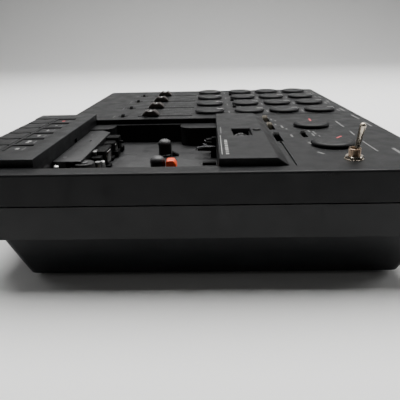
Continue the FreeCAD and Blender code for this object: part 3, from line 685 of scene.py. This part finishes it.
def toggle_bat():
    """The lever: a ball in the tube, a thin neck and a rounded bat."""
    turn, tilt = radians(LEVER_TURN), radians(LEVER_TILT)
    axis = (cos(turn) * sin(tilt), sin(turn) * sin(tilt), cos(tilt))
    profile = [(0, -1.85), (0.9, -1.6), (1.6, -0.9), (1.85, 0), (1.65, 0.8), (1.12, 1.5), (1.08, 2.2),
            (1.15, 7), (1.38, 13), (1.5, 16)]
    for t in range(0, 90, 12):
        profile.append((1.5 * cos(radians(t)), 17 + 1.5 * sin(radians(t))))
    profile.append((0, 18.5))
    bm = bmesh.new()
    lathe(bm, (*middle("toggle_bushing"), deck_z), profile, 32, axis)
    piece("toggle_bat", bm, "toggle_lever", NICKEL, ["toggle_lever"], 45)


# --- tape transport

def spindle(node):
    """A reel spindle: its turntable, a ribbed post and a domed cap, drawn lighter grey than the post as a
    painted highlight on its top.
    """
    low, high = span(node)
    x, y = middle(node)
    floor_z, top = well_floor, high.z
    bm = bmesh.new()
    profile = [(1.5, low.z), (1.5, floor_z - 6.5), (15, floor_z - 6.4), (15, floor_z - 3.4),
            (3, floor_z - 3.3), (3, floor_z + 0.1), (4.2, floor_z + 0.3), (4.35, floor_z + 0.5),
            (4.35, floor_z + 1.3), (4.1, floor_z + 1.5), (4.1, top - 4.2), (4.3, top - 3.2),
            (4.3, top - 2.9), (2, top - 2.8)]
    lathe(bm, (x, y, 0), profile)
    for i in range(3):
        rib = spoke(x, y, 120 * i + 90, 2.8, 4.35, 1.3)
        prism(bm, rib, floor_z + 1.2, top - 3.6, upright)
    piece(node + "_body", bm, node, BLACK, [node], 40)
    # The cap, in a lighter grey than the post: painted highlight on its top.
    bm = bmesh.new()
    dome = [(2, top - 3.1), (4, top - 3.1), (4.1, top - 2.8)]
    for t in range(0, 90, 10):
        a = radians(t)
        dome.append((4.1 * cos(a) ** 0.9, top - 2.7 + 2.68 * sin(a)))
    dome.append((0, top))
    lathe(bm, (x, y, 0), dome)
    piece(node + "_dome", bm, node, DOME_HIGHLIGHT, (), 60)


def stop_lever_piece():
    """The orange lever: an upright tab, an arm and the boss on its pivot."""
    low, high = span("stop_lever")
    y0, y1 = low.y, low.y + 5.8
    x, pivot_y = middle("stop_lever")[0], high.y - 3.2
    z0, top = low.z, high.z
    bm = bmesh.new()
    side = [(y0 + 0.05, z0), (y1, z0), (y1, top - 2.4), (y1 - 1, top - 0.5), (y1 - 2, top),
            (y0 + 0.9, top), (y0 + 0.2, top - 0.5), (y0 + 0.05, top - 1.4)]
    prism(bm, side, low.x, high.x, along_x, 0.5, 4)
    block(bm, x - 2.3, x + 2.3, y1 - 1, pivot_y, z0, z0 + 1.5, 0.2)
    section = [(1.55, 0), (3.1, 0), (3.15, 0.3), (3.1, 2.9), (2.6, 3), (1.55, 3)]
    sleeve(bm, (x, pivot_y, z0), section, 32)
    piece("stop_lever_tab", bm, "stop_lever", ORANGE, ["stop_lever"])


def head_carriage():
    """The sliding bridge: a plate, moulded blocks, the shields round the heads, prongs and posts."""
    x, y, z = HEADS
    bm = bmesh.new()
    plate = [(-36, -18), (25, -18), (25, -3), (21, 0), (10, 0), (9, -3), (-9, -3), (-10, 0), (-33.9, 0),
            (-33.9, -6), (-36, -6)]
    fork = [(-38.9, -6), (-34, -6), (-34, 2.1), (-35.7, 2.1), (-35.7, -2), (-37.5, -2), (-37.5, 2.1),
            (-38.9, 2.1)]
    # low prongs that find the cassette's holes
    prong = [(-26, -2), (-17, -2), (-17.6, 1.8), (-25.4, 1.8)]
    small_prong = [(1.5, -1), (8.4, -1), (7.6, 2), (2.3, 2)]
    flats = ((plate, 0, 2, 0.25), (fork, 0, 3.2, 0.25), (prong, 0.2, 4.2, 0.4), (small_prong, 0.2, 1.8, 0.3))
    for outline, z0, z1, width in flats:
        prism(bm, [(x + u, y + v) for u, v in outline], z + z0, z + z1, upright, width)
    # moulded blocks: where they lie, how high they reach, and how their edges are rounded
    blocks = (
        (-35, -28, -15, -4, 6.4, 0.6, 2), (-15.5, -9.5, -14, -4, 7.6, 0.6, 2), (9, 14, -14, -3, 7.4, 0.6, 2),
        (15.5, 23.8, -13, -4.5, 5.6, 0.6, 2), (-35.6, -26.8, -11, 1, 11.4, 0.7, 3),
        (-17.2, -7.6, -12, -1.6, 9, 0.6, 3), (7.6, 14, -12, -1.8, 8.4, 0.6, 3),
        (14.4, 24.6, -12.4, -6, 6.6, 0.5, 3),
    )
    for x0, x1, y0, y1, tall, width, steps in blocks:
        block(bm, x + x0, x + x1, y + y0, y + y1, z + 1.5, z + tall, width, steps)
    # the shields round the two heads
    shields = ((0, 7.2, 5.6, 12, 1.4, 10.4), (-22, 4.4, 3, 10, 1.5, 9.6))
    for offset, half, nose, rear, shoulder, tall in shields:
        c = x + offset
        outline = [(c - half, y - rear), (c + half, y - rear), (c + half, y - shoulder), (c + nose, y - 0.2),
                (c - nose, y - 0.2), (c - half, y - shoulder)]
        prism(bm, outline, z + 1.6, z + tall, upright, 0.5, 3)
    block(bm, x - 31.5, x - 29.5, y + 0.6, y + 3.2, z + 7, z + 8.4, 0.2)
    for dx, dy in ((-17.5, -13.6), (15.8, -15.6), (-30.5, -16.2)):
        lathe(bm, (x + dx, y + dy, z + 1.9), [(0, 0), (1.1, 0), (1.1, 2.6), (0.8, 2.9), (0, 2.9)], 20)
    piece("head_carriage", bm, "head_bridge", MATT, ["head_bridge"])


def head_metalwork():
    """The heads' polished faces, the tape guides with their screws, and two return springs."""
    x, y, z = HEADS
    bm = bmesh.new()
    for centre, half, tall in ((0, 4.9, 9.4), (-22, 2.8, 8.4)):
        c = x + centre
        outline = [(c + half, y - 1), (c - half, y - 1)]
        for t in range(-80, 81, 16):
            a = radians(t)
            outline.append((c + half * sin(a), y - 0.05 + 0.75 * cos(a)))
        prism(bm, outline, z + 3, z + tall, upright, 0.1)
    piece("head_faces", bm, "head_bridge", HEAD, (), 25)
    bm = bmesh.new()
    block(bm, x + 4.2, x + 9.4, y - 8, y - 5.4, z + 10.1, z + 10.9, 0.25)
    block(bm, x + 8.4, x + 9.4, y - 8, y - 5.4, z + 7.2, z + 10.8, 0.2)
    for w0, w1, r in ((2, 3, 1.9), (3, 7.2, 1.2), (7.2, 8, 1.9)):
        lathe(bm, (x + 21, y - 1.6, z), [(0, w0), (r, w0), (r, w1), (0, w1)], 28)
    block(bm, x - 11.6, x - 9.9, y - 3.8, y - 1.2, z + 1.8, z + 7.9, 0.25)
    screws = ((-12.4, -9.5, 7.2, 1.4, 0.9), (11.6, -9.5, 7.2, 1.4, 0.9), (17.8, -8.4, 5.5, 1.3, 0.8),
            (-31.5, -9.5, 6.3, 1.4, 0.8))
    for dx, dy, up, radius, tall in screws:
        screw(bm, x + dx, y + dy, z + up, radius, tall)
    piece("head_guides", bm, "head_bridge", WORN_STEEL, (), 25)
    bm = bmesh.new()
    coil(bm, (x + 9.6, y - 15.4, z + 3.4), (x + 22.5, y - 15.4, z + 3.4), 1, 0.22, 13)
    coil(bm, (x - 27.5, y - 13.6, z + 3.6), (x - 16, y - 13.6, z + 3.6), 1, 0.22, 12)
    piece("head_springs", bm, "head_bridge", STEEL, (), 50)


def pinch():
    """The pinch roller's tyre and hub, and the clip and boss of its arm."""
    low, high = span("pinch_roller")
    x, y = middle("pinch_roller")
    z0, z1 = low.z, high.z
    bm = bmesh.new()
    section = [(1.9, z0 + 0.3), (5, z0), (5.4, z0 + 0.25), (5.49, z0 + 0.8), (5.49, z1 - 0.8),
            (5.4, z1 - 0.25), (5, z1), (1.9, z1 - 0.3)]
    sleeve(bm, (x, y, 0), section, 64)
    piece("pinch_tyre", bm, "pinch_roller", ROLLER, ["pinch_roller"])
    bm = bmesh.new()
    sleeve(bm, (x, y, 0), [(1.05, z0 + 0.1), (2, z0 + 0.1), (2, z1 - 0.05), (1.05, z1 - 0.05)], 32)
    piece("pinch_hub", bm, "pinch_roller", COUNTER)
    bm = bmesh.new()
    clip = [(0, z1 + 0.02), (1.9, z1 + 0.02), (1.9, z1 - 0.03), (1.9, z1 + 0.1), (0, z1 + 0.12)]
    lathe(bm, (x, y, 0), clip, 24)
    px, py = PINCH_PIVOT
    sleeve(bm, (px, py, 0), [(1.6, 49.6), (3.3, 49.6), (3.3, 51.4), (1.6, 51.4)], 32)
    wire(bm, [(px - 2.5, py + 2.5, 50.8), (px - 6, py + 4, 50.6), (px - 10.5, py + 4.4, 50.4)], 0.35)
    piece("pinch_clip", bm, "pinch_arm", DARK_STEEL)


def cover_plate():
    """The plate over the heads, its far corner cut back, with a slit and two fixing screws."""
    low, high = span("head_cover")
    x0, x1, y0, y1, top = low.x, high.x, low.y, high.y, high.z
    thick, cut = 1.2, 6.5
    slit_x, slit_y = 66.25, y0 + 7.3
    bm = bmesh.new()
    outline = [(x0, y0), (x1, y0), (x1, y1), (x0 + cut, y1), (x0, y1 - cut)]
    slit = rect(slit_x, slit_y, slit_x + 4, slit_y + 1)
    layers = []
    for z in (top - thick, top):
        o = [bm.verts.new((a, b, z)) for a, b in outline]
        n = [bm.verts.new((a, b, z)) for a, b in slit]
        for corners in ((o[0], o[1], n[1], n[0]), (o[1], o[2], n[2], n[1]), (o[2], o[3], n[3], n[2]),
                        (o[3], o[4], n[3]), (o[4], o[0], n[0], n[3])):
            bm.faces.new(corners)
        layers.append((o, n))
    for under, over in zip(*layers):
        walls(bm, under, over)
    bmesh.ops.recalc_face_normals(bm, faces=bm.faces)
    soften(bm, list(bm.faces), 0.3, 3)
    for x in (x0, x1 - 1.5):
        block(bm, x, x + 1.5, y0, y0 + 7, low.z, top - 0.8)
    piece("head_cover_plate", bm, CASE, COVER, ["head_cover"])
    # Painted shade: black strips and a short wall under the plate's rear edge, and a thin black strip at its
    # far end, stand in for the shade beneath the plate.
    bm = bmesh.new()
    block(bm, x0 + cut + 0.4, x1 - 0.6, y1 - 1, y1 - 0.1, top - 3.4, top - 0.9, 0.2)
    block(bm, x0 + cut + 0.4, x0 + cut + 11.5, y1 - 1.2, y1 - 0.2, low.z + 0.1, top - 1, 0.2)
    block(bm, x0 + 0.3, x0 + 1, y0 + 1, y1 - cut, top - 1, top + 0.05, 0)
    piece("head_cover_shadow_wall", bm, CASE, BLACK)
    bm = bmesh.new()
    for x in (x0 + 14, x1 - 9):
        screw(bm, x, y0 + 4, top - 0.45, 1.4, 0.5)
    piece("head_cover_screws", bm, CASE, DARK_STEEL, (), 25)


def well_fittings():
    """Dark parts fixed in the well: the contact stack, a foot, levers and posts."""
    z = well_floor
    bm = bmesh.new()
    # the contact stack on the well's rear wall
    block(bm, 55, 58.2, 8, 11, z + 0.2, z + 11)
    for k in range(4):
        w = z + 2 + k * 2.4
        block(bm, 54.4, 58.8, 5.6 - 0.4 * k, 10.6, w, w + 0.7, 0.12)
    block(bm, 66, 69, 7.5, 11, z + 0.2, z + 7.4)
    finger = [(-1, z + 4.6), (10.6, z + 4.2), (10.8, z + 6.6), (4, z + 6.9), (-1, z + 6)]
    prism(bm, finger, 66.3, 68.6, along_x, 0.25)
    block(bm, 83, 86, 2.4, 10.6, z + 0.2, z + 1.6)
    # the foot beside the supply spindle
    foot = [(-18, z), (-13.6, z), (-13.9, z + 0.9), (-16.4, z + 2.2), (-18, z + 3.4)]
    prism(bm, foot, 60.4, 63.6, along_x, 0.25)
    # levers and posts between the key housing and the heads
    block(bm, 127.6, 141.5, -77.2, -74.2, z + 0.1, z + 8.4, 0.4)
    lever = [(117.5, -76.4), (140, -76.4), (140, -73.6), (126, -72.8), (117.5, -74.6)]
    prism(bm, lever, z + 8, z + 10.2, upright)
    block(bm, 134, 141, -70.5, -62.5, z + 0.1, z + 5.6, 0.5)
    block(bm, 136.2, 138.4, -68.8, -64.4, z + 5.4, z + 9.2, 0.4)
    lathe(bm, (140.5, -58.5, z), [(0, 0), (1.9, 0), (1.9, 5.4), (1.5, 5.9), (0, 5.9)], 28)
    lathe(bm, (111, -75.2, z), [(0, 0), (2, 0), (2, 7), (1.6, 7.4), (0, 7.4)], 28)
    piece("well_fittings", bm, CASE, MATT)


def well_metalwork():
    """Metal parts fixed in the well: leaf and coil springs, screws, a pin and the capstan's bearing."""
    z = well_floor
    bm = bmesh.new()
    for k in range(3):
        w = z + 3.4 + k * 2.4
        wire(bm, [(56.4, 9.6, w), (56.2, 4, w - 0.1), (55.4, 1.4 + k, w + 0.3)], 0.28)
    leaf = [(67.4, 10.2, z + 7.1), (67.2, 3, z + 7.2), (66.4, -1.4, z + 6.2), (66.2, -2.2, z + 4.4)]
    wire(bm, leaf, 0.32)
    piece("leaf_springs", bm, CASE, DARK_STEEL, (), 30)
    bm = bmesh.new()
    coil(bm, (128.5, -72.6, z + 6.8), (139.6, -72, z + 7.4), 1.25, 0.26, 12)
    coil(bm, (118.5, -73, z + 6.4), (126.5, -69, z + 7), 1, 0.24, 9)
    screws = ((137.3, -60, 0, 2, 1.1), (131.8, -75.8, 10.2, 1.6, 0.8), (120.5, -75.2, 10.2, 1.5, 0.8),
            (139, 5, 0, 2.2, 1.2), (40.5, 5.5, 0, 2.2, 1.2), (139.5, -30, 0, 2.2, 1.2))
    for x, y, up, radius, tall in screws:
        screw(bm, x, y, z + up, radius, tall)
    lathe(bm, (136.4, -49, z), [(0, 0), (1.3, 0), (1.3, 9), (0.9, 10.6), (0, 10.9)], 28)
    piece("well_metalwork", bm, CASE, STEEL, (), 30)
    slots = [bar(57, -49, 57, -42, 0.7), bar(81.5, 0, 81.5, 8.5, 0.8), bar(88, -44, 96, -44, 0.7)]
    printed("plate_slots", slots, z, BLACK_INK)
    bm = bmesh.new()
    section = [(1.32, 1), (2.7, 1), (2.9, 1.3), (2.9, 2.1), (2.5, 2.4), (1.32, 2.4)]
    sleeve(bm, (*middle("capstan_flywheel"), z), section, 32)
    piece("capstan_bearing", bm, CASE, BRASS)


# --- the raised cover

COVER_THICK = 1.6
WINDOW = (75.3, 20.1, 96.3, 31.7)
WINDOW_FLOOR = cover_high.z - COVER_THICK - 0.6
RESET_HOLE = 2.6


def raised_cover():
    """The cover behind the well, with the counter's window and the reset button's hole."""
    x0, x1, y0, y1, top = cover_low.x, cover_high.x, cover_low.y, cover_high.y, cover_high.z
    wx0, wy0, wx1, wy1 = WINDOW
    crest = y0 + 27.4
    bm = bmesh.new()
    grid = [[bm.verts.new((a, b, top)) for b in (y0, wy0, wy1, crest)] for a in (x0, wx0, wx1, x1)]
    for i in range(3):
        for j in range(3):
            if i != 1 or j == 0:
                bm.faces.new((grid[i][j], grid[i + 1][j], grid[i + 1][j + 1], grid[i][j + 1]))
    # the hole for the reset button, behind the window
    hole = [bm.verts.new((*point, top)) for point in dot(*middle("counter_reset"), RESET_HOLE, 32)]
    half = len(hole) // 2
    rear_half, front_half = hole[:half + 1], hole[half:] + hole[:1]
    bm.faces.new([grid[1][2], grid[2][2]] + list(reversed(front_half)))
    bm.faces.new([grid[2][2], grid[2][3], grid[1][3], grid[1][2]] + list(reversed(rear_half)))
    walls(bm, hole, [bm.verts.new(v.co - Vector((0, 0, COVER_THICK))) for v in hole])
    foot = [bm.verts.new((a, b, deck_z + 0.03)) for a, b in rect(x0, y0, x1, y1)]
    bm.faces.new([foot[0], foot[1], grid[3][0], grid[2][0], grid[1][0], grid[0][0]])
    bm.faces.new([foot[2], foot[3], grid[0][3], grid[1][3], grid[2][3], grid[3][3]])
    bm.faces.new([foot[1], foot[2], grid[3][3], grid[3][2], grid[3][1], grid[3][0]])
    bm.faces.new([foot[3], foot[0], grid[0][0], grid[0][1], grid[0][2], grid[0][3]])
    # the window's sides, splayed all round
    inset = rect(wx0 + 0.4, wy0 + 0.5, wx1 - 0.4, wy1 - 0.5)
    well = [bm.verts.new((*point, WINDOW_FLOOR)) for point in inset]
    walls(bm, well, [grid[1][1], grid[2][1], grid[2][2], grid[1][2]])
    bmesh.ops.recalc_face_normals(bm, faces=bm.faces)
    folds = [e for e in bm.edges if len(e.link_faces) == 2 and e.calc_face_angle(0) > radians(20)]
    bevel(bm, [e for e in folds if not set(hole).intersection(e.verts)], 0.7, 4)
    piece("raised_cover", bm, CASE, DECK, ["cassette_hood"], 50)
    # the frame under the window, with a gap for the wheels
    bm = bmesh.new()
    a0, a1, b0, b1 = wx0 - 1.5, wx1 + 1.5, wy0 - 1, wy1 + 1
    rails = ((a0, a1, b0, wy0 + 1), (a0, a1, wy1 - 1, b1))
    stiles = ((a0, wx0 + 0.6, b0, b1), (wx1 - 0.6, a1, b0, b1))
    for bars in rails + stiles:
        block(bm, *bars, WINDOW_FLOOR - 1.6, WINDOW_FLOOR + 0.1, 0)
    piece("counter_frame", bm, CASE, BLACK)


def reset_button():
    low, high = span("counter_reset")
    x, y = middle("counter_reset")
    bm = bmesh.new()
    profile = [(3, low.z), (3, low.z + 1), (2.25, low.z + 1.1), (2.28, high.z - 0.6), (2.1, high.z - 0.2),
            (1.7, high.z - 0.02), (0.9, high.z - 0.14), (0, high.z - 0.2)]
    lathe(bm, (x, y, 0), profile, 40)
    piece("counter_reset_button", bm, "counter_reset", BLACK, ["counter_reset"])
    bm = bmesh.new()
    section = [(2.55, -0.5), (2.7, 0), (3.1, 0.12), (3.3, 0.1), (3.4, -0.02), (3.4, -0.5)]
    sleeve(bm, (x, y, cover_high.z), section, 40)
    piece("counter_reset_collar", bm, CASE, DECK)


def cover_marks():
    """Generic marks along the raised cover's front edge."""
    strips = [bar(96, 13, 139, 13, 0.35)]
    rng = random.Random(5)
    at, end = 108, 139
    while at < end:
        wide = rng.uniform(0.8, 2.4)
        strips.append(bar(at, 15.6, min(at + wide, end), 15.6, 1.5))
        at += wide + rng.uniform(0.8, 1.5)
    printed("cover_marks", strips, cover_high.z, PALE_INK)
    printed("cover_line", [bar(72, 13.6, 90, 13.6, 0.5)], cover_high.z, GREY_INK)


# the seven strokes that make up each figure, lettered clockwise from the top, with g across the middle
DIGITS = ["abcdef", "bc", "abged", "abgcd", "fgbc", "afgcd", "afgecd", "abc", "abcdefg", "abcdfg"]
WHEEL_STARTS = (0, 72, 252)
WHEEL_PITCH = 6


def counter_wheels():
    """The counter's three wheels with grey figures 0 to 9 round each."""
    node = "counter_wheels"
    low, high = span(node)
    x_mid, y, z = (low.x + high.x) / 2, (low.y + high.y) / 2, (low.z + high.z) / 2
    wheel_xs = [x_mid + WHEEL_PITCH * i for i in (-1, 0, 1)]
    w, h = 1.25, 1.15
    ends = {"a": (-w, h, w, h), "b": (w, h, w, 0), "c": (w, 0, w, -h), "d": (-w, -h, w, -h),
            "e": (-w, 0, -w, -h), "f": (-w, h, -w, 0), "g": (-w, 0, w, 0)}
    bm = bmesh.new()
    for x, start in zip(wheel_xs, WHEEL_STARTS):
        for value, strokes in enumerate(DIGITS):
            around = radians(36 * value + start)
            for stroke in strokes:
                inner, outer = [], []
                for u, v in bar(*ends[stroke], 0.5):
                    a = around + v / 5.9
                    for made, r in ((inner, 5.85), (outer, 5.99)):
                        made.append(bm.verts.new((x + u, y + r * sin(a), z + r * cos(a))))
                bm.faces.new(outer)
                bm.faces.new(list(reversed(inner)))
                walls(bm, inner, outer)
    piece("counter_figures", bm, node, GREY_INK)
    bm = bmesh.new()
    section = [(1, 0), (5.6, 0), (5.88, 0.3), (5.88, 5.3), (5.6, 5.6), (1, 5.6)]
    for x in wheel_xs:
        sleeve(bm, (x - 2.8, y, z), section, 60, (1, 0, 0))
    length = high.x - low.x
    lathe(bm, (low.x, y, z), [(0, 0), (0.95, 0), (0.95, length), (0, length)], 20, (1, 0, 0))
    piece("counter_drums", bm, node, MATT, [node])


# --- case details

def deck_marks():
    """Printed lines and generic label bars on the deck."""
    # level strokes: from, to, y and thickness
    level = [
        # label bars along the deck's rear edge
        (-62, -50, 112.4, 1.1), (-92, -80, 112.4, 1.1), (-122, -110, 112.4, 1.1), (126, 138, 106.3, 1),
        # the head of the master section
        (37, 58.4, 94.3, 0.9),
        # beside the panel switches
        (25, 28, 51.3, 1.1), (31, 34, 53.4, 1.1), (44, 48, 51.6, 1.1), (50, 58, 54.8, 1.1),
        (60, 63, 56.6, 1.1), (78.5, 85.6, 56.4, 1.1), (66.5, 72.5, 69.2, 0.9), (70, 79, 71.6, 0.9),
        (76, 83.9, 69.6, 0.9), (82, 87, 72.6, 0.9),
    ]
    # strokes that lean a little
    leaning = [(-19, 112.4, -4, 112.6, 1.3), (14, 112.4, 31, 112.6, 1.3), (42, 112.4, 57, 112.6, 1.3),
               (116, 103.5, 131, 103.3, 1.6), (98.8, 93.2, 122, 93.6, 0.8), (71, 94.4, 83, 93.6, 0.9),
               (99.1, 62.6, 103.8, 63.6, 1.2), (121.5, 62.8, 126, 65, 1.4)]
    strokes = [bar(x0, y, x1, y, thick) for x0, x1, y, thick in level] + [bar(*stroke) for stroke in leaning]
    printed("deck_labels", strokes, deck_z, LABEL_INK)
    channel_marks = []
    for channel in range(4):
        x = -10 - 40 * channel
        for y in (22.5, 53, 81, 109):
            channel_marks.append(bar(x - 4.5, y, x + 4.5, y, 0.9))
        channel_marks.append(bar(x + 8.5, -67.2, x + 18.5, -67.2, 0.5))
        channel_marks.append(bar(x + 8, 33, x + 19, 33, 0.8))
        channel_marks.append(bar(x - 14.6, -70, x - 14.6, 100, 0.3))
    printed("deck_grey_lines", channel_marks, deck_z, GREY_INK)


def scuffs():
    """The rubbed patch on the near edge."""
    bm = bmesh.new()
    x = case_high.x
    for y0, y1, z, tall in ((57, 60.2, 59.4, 0.28), (60, 63.4, 59.15, 0.34), (58.4, 62, 58.9, 0.16)):
        patch = [(y0, z), (y1, z - 0.1), (y1 - 0.4, z + tall), (y0 + 0.5, z + tall * 0.8)]
        prism(bm, patch, x - 0.02, x, along_x, 0)
    piece("edge_scuff", bm, CASE, SCUFF)


SOCKETS, SOCKET_PITCH, FIRST_SOCKET_X, INLET_X = 6, 30, -115, 65
SOCKET_Z = 37.9


def rear_sockets():
    """Rings round the six sockets and the power inlet's collar and pin."""
    y, z = span("rear_jacks")[1].y, SOCKET_Z
    outward = (0, 1, 0)
    bm = bmesh.new()
    section = [(3.3, -0.6), (3.3, 0.05), (3.6, 0.18), (4.6, 0.18), (4.9, -0.05), (4.9, -0.6)]
    for i in range(SOCKETS):
        sleeve(bm, (FIRST_SOCKET_X + SOCKET_PITCH * i, y, z), section, 40, outward)
    piece("socket_rings", bm, CASE, NICKEL)
    bm = bmesh.new()
    section = [(2.85, -0.6), (2.85, 0.1), (3.1, 0.2), (4.4, 0.2), (4.6, -0.1), (4.6, -0.6)]
    sleeve(bm, (INLET_X, y, z), section, 40, outward)
    piece("inlet_collar", bm, CASE, BLACK)
    bm = bmesh.new()
    lathe(bm, (INLET_X, y - 8.6, z), [(0, 0), (1, 0), (1, 7.4), (0.7, 7.8), (0, 7.9)], 20, outward)
    piece("inlet_pin", bm, CASE, NICKEL)


FOOT_R = 6


def feet():
    low, high = span("rubber_feet")
    profile = [(0, 0.55), (3.4, 0.5), (4, 0.12), (4.6, 0), (5.2, 0.05), (5.7, 0.5), (FOOT_R, 1.1),
            (5.95, 3.8), (0, 3.85)]
    bm = bmesh.new()
    for x in (low.x + FOOT_R, high.x - FOOT_R):
        for y in (low.y + FOOT_R, high.y - FOOT_R):
            lathe(bm, (x, y, 0), profile, 40)
    piece("feet", bm, CASE, FOOT, ["rubber_feet"])


def paint_cad():
    """Finishes for the CAD nodes that stay in view. The rest are hidden behind the pieces."""
    finishes = {"upper_shell": DECK, "lower_shell": SIDE, "deck_chassis": CHASSIS, "rear_jacks": PANEL,
                "circuit_board": BOARD, "capstan_flywheel": STEEL, "pinch_arm": DARK_STEEL}
    for name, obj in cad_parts.items():
        obj.data.materials.clear()
        obj.data.materials.append(finishes.get(name, BLACK))


# --- camera, lights and backdrop

CAMERA_PLACE = (344.96, 7.6, 118.81)
CAMERA_TURNS = (0.028174, 0.357969, -0.022686)


def camera():
    cam = bpy.data.cameras.new("camera")
    cam.sensor_width = 36
    cam.lens = 39.6
    cam.clip_start = 0.005
    yaw, pitch, roll = CAMERA_TURNS
    turn = Matrix.Rotation(yaw, 3, "Z")
    right, ahead, up = turn @ Vector((0, 1, 0)), turn @ Vector((-1, 0, 0)), Vector((0, 0, 1))
    look = cos(pitch) * ahead - sin(pitch) * up
    top = cos(pitch) * up + sin(pitch) * ahead
    rolled_right = cos(roll) * right + sin(roll) * top
    rolled_top = -sin(roll) * right + cos(roll) * top
    place = Matrix((rolled_right, rolled_top, -look)).transposed().to_4x4()
    place.translation = Vector(CAMERA_PLACE) * MM
    obj = add_object("camera", cam)
    obj.matrix_world = place
    bpy.context.scene.camera = obj


def softbox(name, place, target, size, power, colour=(1, 1, 1)):
    """A rectangular area light, placed and aimed in metres."""
    light = bpy.data.lights.new(name, "AREA")
    light.shape = "RECTANGLE"
    light.size, light.size_y = size
    light.energy = power
    light.color = colour
    obj = add_object(name, light)
    obj.location = place
    obj.rotation_euler = (Vector(target) - Vector(place)).to_track_quat("-Z", "Y").to_euler()


def backdrop():
    """A sweep of paper: a flat floor, then a long curve up into a wall."""
    front, bend, radius, side, height = 2500, -1500, 900, 3500, 3000
    profile = [(front, 0), (bend, 0)]
    for i in range(1, 25):
        a = radians(90 * i / 24)
        profile.append((bend - radius * sin(a), radius * (1 - cos(a))))
    profile.append((bend - radius, height))
    bm = bmesh.new()
    near, far = [[bm.verts.new((x, y, z)) for x, z in profile] for y in (-side, side)]
    for i in range(len(profile) - 1):
        bm.faces.new((near[i + 1], near[i], far[i], far[i + 1]))
    floor = smooth_object("floor", bm, studio_paper("paper", (0.88, 0.88, 0.87)))


def studio():
    world = bpy.data.worlds.new("studio")
    bpy.context.scene.world = world
    world.use_nodes = True
    back = world.node_tree.nodes["Background"]
    back.inputs["Color"].default_value = (0.98, 0.975, 0.965, 1)
    back.inputs["Strength"].default_value = 0.05
    backdrop()
    softbox("overhead", (-0.31, 0.10, 1), (-0.31, 0.1001, 0), (0.95, 1.2), 33, (1, 0.997, 0.99))
    softbox("front", (1.25, 0.1, 0.95), (0.2, 0.05, 0), (2.2, 0.9), 0.5, (1, 0.99, 0.97))
    softbox("side_left", (-0.45, -1.45, 0.75), (0, -0.1, 0), (0.9, 0.7), 3.4)
    softbox("side_right", (-0.45, 1.6, 0.75), (0, 0.1, 0), (0.9, 0.7), 7)
    softbox("behind", (-1.75, 0.1, 1.05), (0, 0, 0.05), (2.6, 1), 4.2)
    softbox("wall_left", (-1.3, -1.5, 1.7), (-2.4, -1.6, 0.5), (1.1, 0.5), 1.2)
    softbox("wall_right", (-1.3, 1.9, 1.7), (-2.4, 1.9, 0.5), (1.1, 0.5), 1.6)


key_housing()
transport_keys()
rotary_controls()
slide_controls()
toggle_fixings()
toggle_bat()
spindle("supply_spindle")
spindle("takeup_spindle")
stop_lever_piece()
head_carriage()
head_metalwork()
pinch()
cover_plate()
well_fittings()
well_metalwork()
raised_cover()
reset_button()
cover_marks()
counter_wheels()
deck_marks()
scuffs()
rear_sockets()
feet()
paint_cad()
camera()
studio()
